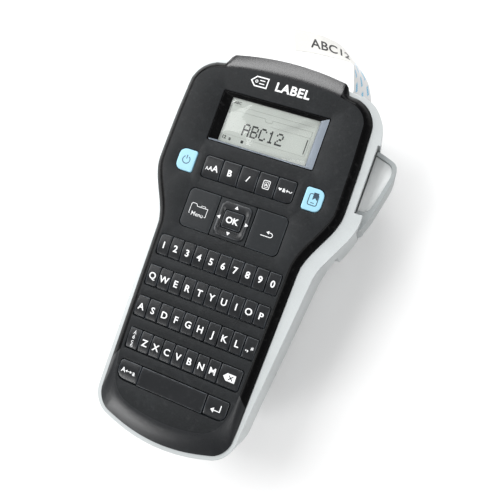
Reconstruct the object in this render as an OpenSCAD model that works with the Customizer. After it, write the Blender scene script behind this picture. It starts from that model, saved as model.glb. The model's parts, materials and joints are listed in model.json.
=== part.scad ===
// Handheld label maker, built as separate pieces that go together.
// Lies on its back: +X to the cutter lever, +Y to the head, +Z out of the keys.
// Origin: middle of the flat back of the head, on the table.

/* [Body] */
// Height of the face above the table
depth = 51; // [46:0.5:60]
// Half width of the front cover across the keys
grip_half_w = 38.8; // [37:0.1:44]
// Half width of the front cover across the head
head_half_w = 50.8; // [48:0.1:60]
// Thickness of the moulded walls
wall = 2.2; // [1.8:0.1:3]
// How far the rear cover stands out past the front cover
rim = 2.2; // [1.5:0.1:3]
// Width of the slope round the face
bevel_w = 3.6; // [2:0.1:4.5]
// Height of the slope round the face
bevel_h = 4; // [3:0.1:5]
// Slope of the back of the grip, in degrees
ramp_deg = 9; // [5:0.5:11]

/* [Display] */
// Width of the opening round the display
disp_w = 58; // [52:0.5:62]
// Height of the opening round the display
disp_h = 27.8; // [24:0.2:30]
// Width of the part of the display that shows
lcd_w = 48; // [42:0.5:52]
// Height of the part of the display that shows
lcd_h = 24; // [20:0.2:26]
// How far the display lies below the face
disp_drop = 3; // [2.4:0.1:4]

/* [Keys] */
// Pitch of the letter keys
key_pitch = 6.65; // [6:0.05:6.9]
// Pitch of the key rows
row_pitch = 16.6; // [14:0.1:17]
// Height of a letter key up the face
key_len = 10.8; // [9:0.1:12]
// Gap between neighbouring keys
key_gap = 0.35; // [0.3:0.05:0.8]
// Gap between a key and its slot in the cover
slot_gap = 0.3; // [0.2:0.05:0.6]
// How far a key stands proud of the face
key_proud = 0.6; // [0.2:0.1:1.2]
// How far a key travels
key_travel = 0.8; // [0.5:0.1:1]

/* [Cassette and drive] */
// Width of the tape
tape_w = 12; // [9:1:14]
// Thickness of the cassette
cassette_t = 19; // [17:0.5:22]
// Radius of the platen roller
platen_r = 3.4; // [3:0.1:4]
// Gear module
gear_m = 0.6; // [0.5:0.05:0.7]

/* [Battery] */
// Diameter of one cell
cell_d = 10.5; // [10:0.1:11]
// Length of one cell
cell_len = 44.5; // [40:0.5:46]

/* [Lever and hinges] */
// Radius of the lever's pivot pin
lever_pin_r = 1.5; // [1.2:0.1:2]
// Radius of the cassette door's hinge pin
door_pin_r = 1.2; // [1:0.1:1.6]
// Play round a shaft that turns in a hole
run_fit = 0.06; // [0.02:0.01:0.1]
// Gap round a door in its opening
door_gap = 0.4; // [0.3:0.05:0.8]

/* [Hidden] */
$fn = 48;
eps = 0.01;
// Heights of the stack, from the face down
face_z = depth;
split_z = face_z - bevel_h;
under_z = face_z - wall;
skirt_z = split_z - 4;
skirt_in = 1;
flange_t = 1;
flange_z = under_z - 0.3 - flange_t;
mat_t = 1.2;
mat_z = flange_z - key_travel - 0.3 - mat_t;
board_t = 1.6;
board_z = mat_z - 0.1 - board_t;
lcd_z = face_z - disp_drop;
// Plan of the body, measured from the origin
base_y = -154.3;
top_y = 42.5;
waist_y0 = -52;
waist_y1 = -17;
corner_r = 12;
corner_y = -138;
shoulder_r = 15.5;
shoulder_y = 25;
visor_half = 32;
visor_y = 49.1;
// Keys
row_y = -55;
// How much narrower each row is, on each side, than ten letter keys
row_in = [0, 0, 0, 1.875, 3.075];
bottom_len = 10;
end_w = 11.6;
z_pitch = key_pitch - 0.35;
z_x0 = -row_half(3) + key_pitch;
space_half = row_half(4) - end_w;
fmt_y = -15.2;
fmt_pitch = 9.95;
fmt_half = 2.5 * fmt_pitch - key_gap / 2;
fmt_h = 11.5;
nav_y = -37.7;
nav_half = 26.8;
nav_h = 20.4;
ring_half = 9.6;
ring_h = 17.4;
ok_half = 5.2;
ok_h = 9;
side_x = 34.6;
side_w = 9.6;
side_r = 3.4;
cap_slope = 20;
cap_slope_w = 2.2;
cap_wall = 1.1;
dome_room = 1.8;
dome_r = 1.5;
// Half widths of the keypad mat and the board below the waist, at it and above it
mat_half = 5 * key_pitch - 0.25;
mat_waist = 34.6;
mat_head = side_x + 6.4;
disp_x = 0.5;
disp_y = 12.1;
// Back
ramp_y = -38;
head_r = 16;
grip_r = 12;
// Cassette, drive and tape
cas_x0 = -32.5;
cas_x1 = 26.5;
cas_y0 = -21;
cas_y1 = 25;
cas_z = 4.6;
cas_top = cas_z + cassette_t;
bay_gap = 0.8;
bay_t = 1.6;
bay_z = cas_top + 0.6;
bay_top = bay_z + 2;
tape_x = 38.5;
tape_z = cas_z + cassette_t / 2;
platen_y = 7;
platen_x = tape_x - 0.25 - platen_r;
gear_t = 3;
gear_z = bay_top + 0.6;
teeth_platen = 16;
teeth_idler = 24;
teeth_pinion = 12;
mesh_gap = 0.15;
dist_pi = gear_m * (teeth_platen + teeth_idler) / 2 + mesh_gap;
dist_ip = gear_m * (teeth_pinion + teeth_idler) / 2 + mesh_gap;
idler_a = 150;
idler_x = platen_x + dist_pi * cos(idler_a);
idler_y = platen_y + dist_pi * sin(idler_a);
pinion_x = idler_x + dist_ip * cos(idler_a);
pinion_y = idler_y + dist_ip * sin(idler_a);
shaft_r = 1;
post_r = 1.5;
motor_z = gear_z + gear_t + 1.2;
motor_top = board_z - 3;
motor_r = 7.6;
motor_posts = [[pinion_x - 9.4, pinion_y - 5.4], [pinion_x - 9.4, pinion_y + 6.9],
    [pinion_x + 9.4, pinion_y + 6.9]];
spool_x = -10;
spool_y = 0;
spool_r = 15;
spool_post_r = 3;
take_x = 15;
take_y = 13;
take_r = 5.4;
take_post_r = 2;
cas_wall = 1.2;
// Cutter lever
lever_x = head_half_w + 6.6;
lever_y = -18.2;
strip_z = split_z - 6;
lever_z0 = 15;
lever_z1 = strip_z - 1;
barrel_r = 3.6;
// Corners of the lever, and of the shallow dish in it, measured from its pin
lever_plan = [[0, -barrel_r], [2.6, -2.4], [3.6, 0], [4.2, 1.6], [5.8, 6.3], [7.4, 13.8], [9.2, 22],
    [10.1, 26.8], [10.1, 30.6], [9.4, 33], [8.1, 34.5], [6.3, 35.4], [2.1, 37], [-1.4, 38.1],
    [-2.1, 38], [-2.1, 0]];
lever_dish = [[-3, 6.4], [2.4, 7], [4.2, 9.5], [5.4, 14.6], [7.1, 22.4], [8, 27], [8, 30.2], [7.5, 31.8],
    [6.6, 32.9], [5.2, 33.8], [-3, 36.4]];
dish_t = 2.4;
recess_x = head_half_w - 4.6;
recess_y0 = lever_y - 4;
recess_y1 = lever_y + 38.9;
gap_x = lever_x - 2.4;
blade_y = recess_y1 + wall + 2.1;
blade_travel = 5.2;
blade_t = 0.6;
blade_x = tape_x + 0.25 + blade_travel;
arm_x0 = lever_x - 6.2;
arm_x1 = arm_x0 + 1.6;
arm_z0 = lever_z0 + 2;
arm_z1 = bay_z - 0.8;
carrier_x0 = arm_x0 - 6.3;
blade_root = carrier_x0 + 3.5;
// Battery bay, in the tilted frame of the grip's back
bat_w = 3 * cell_d + 1.6;
bat_open = bat_w + 4;
bat_wall = 1.6;
cell_gap = 0.3;
bat_len = 2 * cell_len + 3;
bat_y0 = -91.5;
// Cassette door
door_x0 = -37;
door_x1 = 35;
door_y1 = 32;
door_pin_z = 3.4;
door_pin_y = -29.5;
door_roll_r = 3.3;
bracket_x = 27;
bracket_w = 6;
bracket_r = 2.6;
// Screws
screw_r = 1.5;
boss_r = 3.2;
seat_z = 5;
screws = [[7.8 - head_half_w, 12], [side_x_at(-33) - 5.6, -33], [6, top_y - 5.9],
    [8.8 - grip_half_w, base_y + 14.3], [grip_half_w - 8.8, base_y + 14.3]];

// ---------- plan outline ----------
// A blend that leaves 0 and reaches 1 with no kink
function ease(t) = t * t * (3 - 2 * t);
function side_x_at(y) = y < waist_y0
    ? grip_half_w + 0.025 * (y - waist_y0)
    : grip_half_w + (head_half_w - grip_half_w) * ease(min(1, (y - waist_y0) / (waist_y1 - waist_y0)));
corner_x = side_x_at(corner_y) - corner_r;
shoulder_x = head_half_w - shoulder_r - 1;
function half_cover() = concat(
    [for (i = [0:4]) let (x = corner_x * i / 4.2) [x, base_y + x * x / 160]],
    [for (a = [-66:11:0]) [corner_x + corner_r * cos(a), corner_y + corner_r * sin(a)]],
    [for (y = [-124, -100, -76]) [side_x_at(y), y]],
    [for (i = [0:9]) let (y = waist_y0 + (waist_y1 - waist_y0) * i / 9) [side_x_at(y), y]],
    [[head_half_w, -6], [head_half_w - 0.2, 8], [head_half_w - 0.6, 17]],
    [for (a = [8:10:78]) [shoulder_x + shoulder_r * cos(a), shoulder_y + shoulder_r * sin(a)]],
    [for (i = [3:-1:1]) let (x = shoulder_x * i / 4) [x, top_y - x * x / 600]]);
// The same outline moved inwards by d along its own normals
function unit(v) = v / norm(v);
function push(p, d) = [for (i = [0:len(p) - 1])
    let (a = p[(i + len(p) - 1) % len(p)], b = p[(i + 1) % len(p)], t = unit(b - a))
    p[i] + d * [-t[1], t[0]]];
function both(h) = concat(h, [[0, top_y]],
    [for (i = [len(h) - 1:-1:1]) [-h[i][0], h[i][1]]]);
function cover_pts(d) = push(both(half_cover()), d);
// The rear cover also swells out on the lever side
function swell(y) = y < -135 ? 0 : y < -40 ? 6.5 * (y + 135) / 95
    : y < lever_y ? 6.5 : y < 21 ? 6.5 - 2 * (y - lever_y) / (21 - lever_y)
    : max(2.4, 4.5 - 2.1 * (y - 21) / 12);
function shell_pts(d) = push([for (p = both(half_cover()))
    [p[0] + (p[0] > 10 ? swell(p[1]) : 0), p[1]]], d - rim);

// ---------- small helpers ----------
module slab(pts, z0, z1) {
    translate([0, 0, z0]) linear_extrude(z1 - z0) polygon(pts);
}
module box(x0, x1, y0, y1, z0, z1) {
    translate([x0, y0, z0]) cube([x1 - x0, y1 - y0, z1 - z0]);
}
module rod(x, y, z0, z1, r) {
    translate([x, y, z0]) cylinder(r = r, h = z1 - z0);
}
// Triangles that cross a symmetric outline of n corners from side to side
function rungs(n) = let (h = n / 2) concat([[0, 1, n - 1], [h - 1, h, h + 1]],
    [for (i = [1:h - 2]) [i, i + 1, n - i]],
    [for (i = [1:h - 2]) [i + 1, n - i - 1, n - i]]);
// A solid between two symmetric outlines with the same number of corners
module loft(p0, z0, p1, z1) {
    n = len(p0);
    polyhedron(
        points = concat([for (p = p0) [p[0], p[1], z0]], [for (p = p1) [p[0], p[1], z1]]),
        faces = concat(rungs(n),
            [for (r = rungs(n)) [n + r[2], n + r[1], n + r[0]]],
            [for (i = [0:n - 1]) [i, n + i, (i + 1) % n]],
            [for (i = [0:n - 1]) [n + i, n + (i + 1) % n, (i + 1) % n]]));
}
// The end view of a tub: flat floor, round long edges, and sides that lean out by flare
module tub(x0, x1, r, z0, z1, y0, y1, flare) {
    translate([0, y1, 0]) rotate([90, 0, 0]) linear_extrude(y1 - y0) polygon(concat(
        [[x0 - flare, z1]],
        [for (a = [180:15:270]) [x0 + r + r * cos(a), z0 + r + r * sin(a)]],
        [for (a = [270:15:360]) [x1 - r + r * cos(a), z0 + r + r * sin(a)]],
        [[x1 + flare, z1]]));
}
// A box with upright rounded corners
module pad(x0, x1, y0, y1, z0, z1, r) {
    box(x0 + r, x1 - r, y0, y1, z0, z1);
    box(x0, x1, y0 + r, y1 - r, z0, z1);
    for (x = [x0 + r, x1 - r], y = [y0 + r, y1 - r]) rod(x, y, z0, z1, r);
}
// Everything on the sloping back of the grip is drawn level, then tipped
module tipped() {
    translate([0, ramp_y, 0]) rotate([-ramp_deg, 0, 0]) translate([0, -ramp_y, 0]) children();
}

// ---------- covers ----------
module visor_solid() {
    n = 8;
    top = [for (i = [-n:n]) [i * (visor_half - 2) / n, top_y - 2.4 - pow(i / n, 2) * 2.6]];
    low = [for (i = [-n:n]) [i * visor_half / n, visor_y - pow(i / n, 2) * 3.4]];
    inner_y = top_y - bevel_w - wall + 1;
    hull() {
        slab(concat(top, [[visor_half - 5, inner_y], [5 - visor_half, inner_y]]),
            face_z - 0.6, face_z - 0.04);
        slab(concat(low, [[visor_half - 3, inner_y], [3 - visor_half, inner_y]]),
            split_z + 0.1, split_z + 0.9);
    }
}
module row_slot(x0, x1, y0, y1) {
    box(x0 - slot_gap, x1 + slot_gap, y0 - slot_gap, y1 + slot_gap, under_z - 1, face_z + 1);
}
module key_holes() {
    for (r = [0:2]) row_slot(-row_half(r), row_half(r), row_lo(r), row_lo(r) + key_len);
    row_slot(-row_half(3), row_half(3), row_lo(3), row_lo(3) + key_len);
    row_slot(-row_half(4), row_half(4), row_lo(4), row_lo(4) + bottom_len);
    for (s = [-1, 1]) row_slot(s * side_x - side_w / 2, s * side_x + side_w / 2,
        fmt_y - fmt_h / 2, fmt_y + fmt_h / 2);
    row_slot(-fmt_half, fmt_half, fmt_y - fmt_h / 2, fmt_y + fmt_h / 2);
    row_slot(-nav_half, nav_half, nav_y - nav_h / 2, nav_y + nav_h / 2);
}
function row_half(r) = 5 * key_pitch - key_gap / 2 - row_in[r];
function row_lo(r) = r < 4 ? row_y - r * row_pitch - key_len
    : row_y - 4 * row_pitch - bottom_len;

module front_cover() {
    color("#26282b") difference() {
        union() {
            loft(cover_pts(0), split_z, cover_pts(bevel_w), face_z);
            slab(cover_pts(skirt_in), skirt_z, split_z + 0.8);
            visor_solid();
            for (s = screws) rod(s[0], s[1], skirt_z - 4, under_z + 1, boss_r);
        }
        difference() {
            union() {
                slab(cover_pts(bevel_w + 0.8), split_z - 1, under_z);
                slab(cover_pts(skirt_in + wall), skirt_z - 1, split_z + 0.6);
            }
            for (s = screws) rod(s[0], s[1], skirt_z - 6, face_z, boss_r);
        }
        for (s = screws) rod(s[0], s[1], skirt_z - 5, split_z, screw_r);
        box(disp_x - disp_w / 2, disp_x + disp_w / 2, disp_y - disp_h / 2, disp_y + disp_h / 2,
            under_z - 1, face_z + 1);
        key_holes();
    }
}

// The rear cover's outer form, or its hollow when d is the wall
module shell_form(d) {
    w = head_half_w + rim - d;
    g = grip_half_w + rim - d;
    top = d > 0 ? split_z + 1 : split_z;
    intersection() {
        slab(shell_pts(d), d, top);
        tub(-w, w + 7, head_r - d, d, 90, ramp_y + 2, 60, 0);
    }
    intersection() {
        slab(shell_pts(d), d, top);
        tipped() tub(-g, g + 8, grip_r - d, d, 120, -190, ramp_y + 16, 30);
        box(-80, 80, -190, ramp_y + 7, -1, 90);
    }
}
module rear_cover() {
    color("#b9bcc0") difference() {
        union() {
            difference() {
                union() {
                    difference() {
                        shell_form(0);
                        shell_form(wall);
                    }
                    // the solid pod that the lever's recess is cut from
                    intersection() {
                        box(recess_x - bay_t, 90, recess_y0 - wall, recess_y1 + wall,
                            lever_z0 - 4, skirt_z - 0.2);
                        shell_form(0);
                    }
                    // shelf that closes the swelling on the lever side
                    difference() {
                        slab(shell_pts(0), split_z - wall, split_z);
                        slab(cover_pts(-slot_gap), split_z - wall - 1, split_z + 1);
                    }
                    for (s = screws) intersection() {
                        union() {
                            rod(s[0], s[1], 0, skirt_z - 4.2, boss_r);
                            rod(s[0], s[1], 0, screw_seat(s[1]) + 2, boss_r + 1.3);
                        }
                        shell_form(0);
                    }
                }
                // the recess: deep under the top strip, so the lever can move in
                box(recess_x, 90, recess_y0, recess_y1, lever_z0 - 1, strip_z);
                box(gap_x, 90, lever_y + barrel_r, recess_y1, strip_z - 1, face_z);
                // openings for the cassette door and the battery door
                box(door_x0 - door_gap, door_x1 + door_gap, door_pin_y - door_roll_r - door_gap,
                    door_y1 + door_gap, -1, wall + 0.5);
                tipped() box(-bat_open / 2 - door_gap, bat_open / 2 + door_gap,
                    bat_y0 - bat_len / 2 - 3 - door_gap, bat_y0 + bat_len / 2 + 3 + door_gap,
                    -1, wall + 0.5);
            }
            for (s = [-1, 1]) door_bracket(s);
        }
        // way in for the lever's arm
        box(recess_x - 0.6, arm_x1 + 0.6, recess_y1 - 1, recess_y1 + wall + 1,
            arm_z0 - 0.6, arm_z1 + 0.6);
        // way out for the tape
        box(tape_x - 2.2, tape_x + 2.2, 30, 60, tape_z - tape_w / 2 - 1, tape_z + tape_w / 2 + 1);
        for (s = screws) {
            rod(s[0], s[1], -2, 60, screw_r + 0.3);
            rod(s[0], s[1], -2, screw_seat(s[1]), screw_r + 1.5);
        }
        rod(lever_x, lever_y, lever_z0 - 3, strip_z + 3, lever_pin_r);
        door_pin(0);
    }
}
function screw_seat(y) = seat_z + max(0, ramp_y - y) * tan(ramp_deg);
// Two brackets stand behind the edge of the opening and hold the door's pin
module door_bracket(s) {
    x0 = s * bracket_x - bracket_w / 2;
    x1 = x0 + bracket_w;
    box(x0, x1, door_pin_y - 8, door_pin_y - door_roll_r - door_gap - eps, 0.5, 6);
    box(x0, x1, door_pin_y - 6, door_pin_y, door_pin_z - 2, door_pin_z + bracket_r);
    translate([x0, door_pin_y, door_pin_z]) rotate([0, 90, 0])
        cylinder(r = bracket_r, h = bracket_w);
}
module door_pin(grow) {
    x1 = bracket_x + bracket_w / 2 + 0.5;
    translate([-x1, door_pin_y, door_pin_z]) rotate([0, 90, 0])
        cylinder(r = door_pin_r + grow, h = 2 * x1);
}
module cassette_door() {
    color("#b4b7bb") difference() {
        union() {
            box(door_x0, door_x1, door_pin_y, door_y1, 0, wall);
            translate([door_x0, door_pin_y, door_pin_z]) rotate([0, 90, 0])
                cylinder(r = door_roll_r, h = door_x1 - door_x0);
            // latch
            box(-6, 6, door_y1 - 2.4, door_y1 - 0.8, 0.5, 5);
            // rib that steadies the cassette
            box(-24, 20, -4.8, -3.2, 0.5, 3.6);
        }
        for (x = [-bracket_x, bracket_x]) box(x - bracket_w / 2 - door_gap, x + bracket_w / 2 + door_gap,
            door_pin_y - 5, door_pin_y + bracket_r + 1, -1, 9);
        door_pin(run_fit);
        // finger groove
        translate([-14, door_y1 - 9, -3.4]) rotate([0, 90, 0]) cylinder(r = 4.4, h = 28);
    }
}
module door_hinge_pin() {
    color("#a9adb2") door_pin(0);
}
module battery_tray() {
    y0 = bat_y0 - bat_len / 2 - bat_wall;
    y1 = bat_y0 + bat_len / 2 + bat_wall;
    w = bat_w / 2 + bat_wall;
    color("#3a3d41") tipped() difference() {
        box(-w, w, y0, y1, wall + 0.1, wall + 1.4 + cell_d + bat_wall);
        box(-w + bat_wall, w - bat_wall, y0 + bat_wall, y1 - bat_wall, 0, wall + 1.4 + cell_d);
    }
}
module battery_door() {
    y0 = bat_y0 - bat_len / 2 - 3;
    y1 = bat_y0 + bat_len / 2 + 3;
    color("#b4b7bb") tipped() difference() {
        union() {
            box(-bat_open / 2, bat_open / 2, y0, y1, 0, wall);
            box(-7, 7, y1 - 1.2, y1 - 0.2, wall - eps, wall + 0.1 + 3);
        }
        for (i = [0:4]) box(-9, 9, y0 + 8 + 2.4 * i, y0 + 9.2 + 2.4 * i, -1, 0.7);
        box(-8, 8, y1 - 1.6, y1 + 1, -1, 0);
    }
}
module batteries() {
    color("#3f6f57") tipped() for (i = [-1:1], j = [0:1]) {
        y = bat_y0 - cell_len + j * (cell_len + 0.6) - 0.3;
        translate([i * (cell_d + cell_gap), y, wall + 0.9 + cell_d / 2]) rotate([-90, 0, 0]) {
            cylinder(r = cell_d / 2, h = cell_len - 1);
            cylinder(r = 1.9, h = cell_len - 0.05);
        }
    }
}
module battery_contacts() {
    color("#c9b98a") tipped() for (i = [-1:1], s = [0, 1]) {
        y = bat_y0 + (s == 0 ? -bat_len / 2 + eps : bat_len / 2 - 0.4);
        x = i * (cell_d + cell_gap);
        box(x - cell_d / 3, x + cell_d / 3, y, y + 0.39, wall + 2, wall + cell_d - 1.5);
    }
}
module case_screws() {
    color("#8d9196") for (s = screws) difference() {
        union() {
            rod(s[0], s[1], screw_seat(s[1]) - 1.8, screw_seat(s[1]), screw_r + 1.2);
            rod(s[0], s[1], screw_seat(s[1]) - 0.5, skirt_z + 1, screw_r);
        }
        rod(s[0], s[1], screw_seat(s[1]) - 2, screw_seat(s[1]) - 0.8, 0.9);
    }
}

// ---------- display ----------
module display_bezel() {
    x0 = disp_x - disp_w / 2 + 0.1;
    x1 = disp_x + disp_w / 2 - 0.1;
    y0 = disp_y - disp_h / 2 + 0.1;
    y1 = disp_y + disp_h / 2 - 0.1;
    lip = 1.4;
    color("#4b5158") difference() {
        union() {
            box(x0, x1, y0, y1, lcd_z - 1, face_z - 0.4);
            box(x0 - lip, x1 + lip, y0 - lip, y1 + lip, lcd_z - 1, under_z);
        }
        loft(frame_pts(lcd_w, lcd_h), lcd_z, frame_pts(disp_w - 1, disp_h - 1), face_z - 0.3);
        box(disp_x - lcd_w / 2 - 1, disp_x + lcd_w / 2 + 1,
            disp_y - lcd_h / 2 - 0.8, disp_y + lcd_h / 2 + 0.8, lcd_z - 2, lcd_z + eps);
    }
}
function frame_pts(w, h) = [[disp_x, disp_y - h / 2], [disp_x + w / 2, disp_y - h / 2],
    [disp_x + w / 2, disp_y + h / 2], [disp_x, disp_y + h / 2],
    [disp_x - w / 2, disp_y + h / 2], [disp_x - w / 2, disp_y - h / 2]];
module display_window() {
    color([0.75, 0.8, 0.78, 0.5]) box(disp_x - lcd_w / 2 - 0.9, disp_x + lcd_w / 2 + 0.9,
        disp_y - lcd_h / 2 - 0.7, disp_y + lcd_h / 2 + 0.7, lcd_z - 0.8, lcd_z);
}
module display_module() {
    color("#b9c0b8") union() {
        box(disp_x - lcd_w / 2 - 2, disp_x + lcd_w / 2 + 2,
            disp_y - lcd_h / 2 - 2, disp_y + lcd_h / 2 + 2, lcd_z - 3.6, lcd_z - 1.1);
        box(disp_x - lcd_w / 2 + 1, disp_x + lcd_w / 2 - 1,
            disp_y - lcd_h / 2 + 1, disp_y + lcd_h / 2 - 1, lcd_z - 1.2, lcd_z - 0.9);
    }
}

// ---------- keys ----------
module cap_body(x0, x1, y0, y1) {
    box(x0, x1, y0, y1, flange_z, face_z + key_proud);
    box(x0, x1, y0 - 1, y1 + 1, flange_z, flange_z + flange_t);
}
// A key with a hollow under it for its dome, and sloped long edges
module cap(x0, x1, y0, y1) {
    difference() {
        cap_body(x0, x1, y0, y1);
        box(x0 + cap_wall, x1 - cap_wall, y0 + 2 * cap_wall, y1 - 2 * cap_wall,
            flange_z - 1, flange_z + dome_room);
        translate([(x0 + x1) / 2, y1 - cap_slope_w, face_z + key_proud]) rotate([-cap_slope, 0, 0])
            box(x0 - x1, x1 - x0, 0, 4, 0, 3);
        translate([(x0 + x1) / 2, y0 + cap_slope_w, face_z + key_proud]) rotate([cap_slope, 0, 0])
            box(x0 - x1, x1 - x0, -4, 0, 0, 3);
    }
}
function letter_x(i, n, off) = (i - (n - 1) / 2) * key_pitch + off;
module letter_key(i, n, off, row) {
    x = letter_x(i, n, off);
    cap(x - key_pitch / 2 + key_gap / 2, x + key_pitch / 2 - key_gap / 2,
        row_lo(row), row_lo(row) + key_len);
}
module digit_key(i) {
    color("#34373b") letter_key(i, 10, 0, 0);
}
module keys_row_q() {
    color("#34373b") for (i = [0:9]) letter_key(i, 10, 0, 1);
}
module keys_row_a() {
    color("#34373b") for (i = [0:9]) letter_key(i, 10, 0, 2);
}
module keys_row_z() {
    color("#34373b") for (i = [0:6]) cap(z_x0 + i * z_pitch + key_gap / 2,
        z_x0 + (i + 1) * z_pitch - key_gap / 2, row_lo(3), row_lo(3) + key_len);
}
module key_accent() {
    color("#34373b") cap(-row_half(3), z_x0 - key_gap / 2, row_lo(3), row_lo(3) + key_len);
}
module key_delete() {
    color("#34373b") cap(z_x0 + 7 * z_pitch + key_gap / 2, row_half(3),
        row_lo(3), row_lo(3) + key_len);
}
module key_caps() {
    color("#34373b") cap(-row_half(4), -space_half, row_lo(4), row_lo(4) + bottom_len);
}
module key_space() {
    color("#34373b") cap(-space_half + key_gap, space_half - key_gap,
        row_lo(4), row_lo(4) + bottom_len);
}
module key_return() {
    color("#34373b") cap(space_half, row_half(4), row_lo(4), row_lo(4) + bottom_len);
}
// The two blue keys have two round corners on their outer side
module blue_key(s) {
    x_in = s * (side_x - side_w / 2);
    x_out = s * (side_x + side_w / 2);
    y0 = fmt_y - fmt_h / 2;
    y1 = fmt_y + fmt_h / 2;
    r = side_r;
    color("#8fd0ec") difference() {
        union() {
            box(min(x_in, x_out - s * r), max(x_in, x_out - s * r), y0, y1,
                flange_z, face_z + key_proud);
            box(min(x_in, x_out), max(x_in, x_out), y0 + r, y1 - r, flange_z, face_z + key_proud);
            for (y = [y0 + r, y1 - r]) rod(x_out - s * r, y, flange_z, face_z + key_proud, r);
            box(min(x_in, x_out), max(x_in, x_out), y0 - 1, y1 + 1, flange_z, flange_z + flange_t);
        }
        box(s * side_x - 3, s * side_x + 3, fmt_y - 3.4, fmt_y + 3.4,
            flange_z - 1, flange_z + dome_room);
    }
}
module format_key(i) {
    color("#34373b") cap((i - 2.5) * fmt_pitch + key_gap / 2, (i - 1.5) * fmt_pitch - key_gap / 2,
        fmt_y - fmt_h / 2, fmt_y + fmt_h / 2);
}
module key_menu() {
    color("#2c2e31") cap(-nav_half, -ring_half - key_gap, nav_y - nav_h / 2, nav_y + nav_h / 2);
}
module key_back() {
    color("#2c2e31") cap(ring_half + key_gap, nav_half, nav_y - nav_h / 2, nav_y + nav_h / 2);
}
module nav_ring() {
    color("#2c2e31") difference() {
        union() {
            box(-ring_half, ring_half, nav_y - nav_h / 2, nav_y + nav_h / 2, flange_z, face_z);
            pad(-ring_half + 0.4, ring_half - 0.4, nav_y - ring_h / 2, nav_y + ring_h / 2,
                face_z - 0.5, face_z + key_proud + 0.4, 4);
            box(-ring_half, ring_half, nav_y - nav_h / 2 - 1, nav_y + nav_h / 2 + 1,
                flange_z, flange_z + flange_t);
        }
        box(-ok_half - key_gap, ok_half + key_gap, nav_y - ok_h / 2 - key_gap,
            nav_y + ok_h / 2 + key_gap, flange_z - 1, face_z + 3);
    }
}
module key_ok() {
    color("#34373b") difference() {
        box(-ok_half, ok_half, nav_y - ok_h / 2, nav_y + ok_h / 2,
            flange_z, face_z + key_proud + 0.6);
        box(-ok_half + 1.4, ok_half - 1.4, nav_y - 2.8, nav_y + 2.8,
            flange_z - 1, flange_z + dome_room);
    }
}
// One dome under each key, and one sheet that carries them
module dome(x, y) {
    rod(x, y, mat_z, flange_z + 0.9 - key_travel, dome_r);
}
module keypad_mat() {
    color("#8b8f94") union() {
        box(-mat_half, mat_half, row_lo(4) - 1.5, waist_y0, mat_z, mat_z + mat_t);
        box(-mat_waist, mat_waist, waist_y0 - 1, nav_y + nav_h / 2 + 2, mat_z, mat_z + mat_t);
        box(-mat_head, mat_head, nav_y + nav_h / 2 + 1, fmt_y + fmt_h / 2 + 1.5, mat_z, mat_z + mat_t);
        for (r = [0:2], i = [0:9]) dome(letter_x(i, 10, 0), row_lo(r) + key_len / 2);
        for (i = [0:6]) dome(z_x0 + (i + 0.5) * z_pitch, row_lo(3) + key_len / 2);
        for (x = [-row_half(3) + 3.2, row_half(3) - 5]) dome(x, row_lo(3) + key_len / 2);
        for (x = [-1:1]) dome(x * (row_half(4) - end_w / 2), row_lo(4) + bottom_len / 2);
        for (x = [-2:2]) dome(x * fmt_pitch, fmt_y);
        for (x = [-side_x, side_x]) dome(x, fmt_y);
        for (x = [-18, 0, 18]) dome(x, nav_y);
    }
}
module main_board() {
    color("#2f6b46") difference() {
        union() {
            box(-mat_half, mat_half, base_y + 18, waist_y0, board_z, board_z + board_t);
            box(-mat_waist, mat_waist, waist_y0 - 1, -27, board_z, board_z + board_t);
            box(-mat_head - 1, mat_head + 1, -28, disp_y - lcd_h / 2 - 3.5, board_z, board_z + board_t);
        }
        for (s = screws) rod(s[0], s[1], board_z - 1, board_z + 4, boss_r + 0.4);
    }
}

// ---------- cassette and drive ----------
module cassette_bay() {
    x0 = cas_x0 - bay_gap - bay_t;
    x1 = cas_x1 + bay_gap + bay_t;
    y0 = cas_y0 - bay_gap - bay_t;
    y1 = cas_y1 + bay_gap + bay_t;
    color("#2b2e32") difference() {
        union() {
            box(x0, 43.6, y0, y1, bay_z, bay_top);
            difference() {
                box(x0, x1, y0, y1, wall + 0.8, bay_z + eps);
                box(x0 + bay_t, x1 - bay_t, y0 + bay_t, y1 - bay_t, 0, bay_z + 1);
                // way out for the tape, and room for the hinge side
                box(x1 - bay_t - 1, x1 + 1, -16, -2, 0, tape_z + tape_w / 2 + 1.5);
            }
            rod(idler_x, idler_y, bay_z, gear_z + gear_t + 0.4, post_r);
            for (p = motor_posts) rod(p[0], p[1], bay_z, motor_z, 1.3);
            box(pinion_x - 11, pinion_x + 11, pinion_y - 7, pinion_y + 8.5,
                motor_z - 0.8, motor_z);
        }
        rod(platen_x, platen_y, bay_z - 1, bay_top + 1, shaft_r + run_fit);
        rod(pinion_x, pinion_y, motor_z - 2, motor_z + 1, 2);
    }
}
module cassette_shell() {
    color("#d9d7cf") difference() {
        union() {
            difference() {
                pad(cas_x0, cas_x1, cas_y0, cas_y1, cas_z, cas_top, 3);
                box(cas_x0 + cas_wall, cas_x1 - cas_wall, cas_y0 + cas_wall, cas_y1 - cas_wall,
                    cas_z + cas_wall, cas_top - cas_wall);
            }
            rod(spool_x, spool_y, cas_z + 1, cas_top - 1, spool_post_r);
            rod(take_x, take_y, cas_z + 1, cas_top - 1, take_post_r);
        }
        box(cas_x1 - 2, cas_x1 + 1, -13.5, -8, tape_z - tape_w / 2 - 0.8, tape_z + tape_w / 2 + 0.8);
        // see-through slot over the supply
        box(spool_x + 5, spool_x + 15, spool_y - 2, spool_y + 2, cas_z - 1, cas_z + 1.3);
    }
}
module spool(x, y, r, r_bore, r_flange) {
    difference() {
        union() {
            rod(x, y, cas_z + 1.8, cas_top - 1.8, r);
            rod(x, y, cas_z + 1.5, cas_z + 2.3, r_flange);
            rod(x, y, cas_top - 2.3, cas_top - 1.5, r_flange);
        }
        rod(x, y, cas_z, cas_top, r_bore);
    }
}
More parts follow.
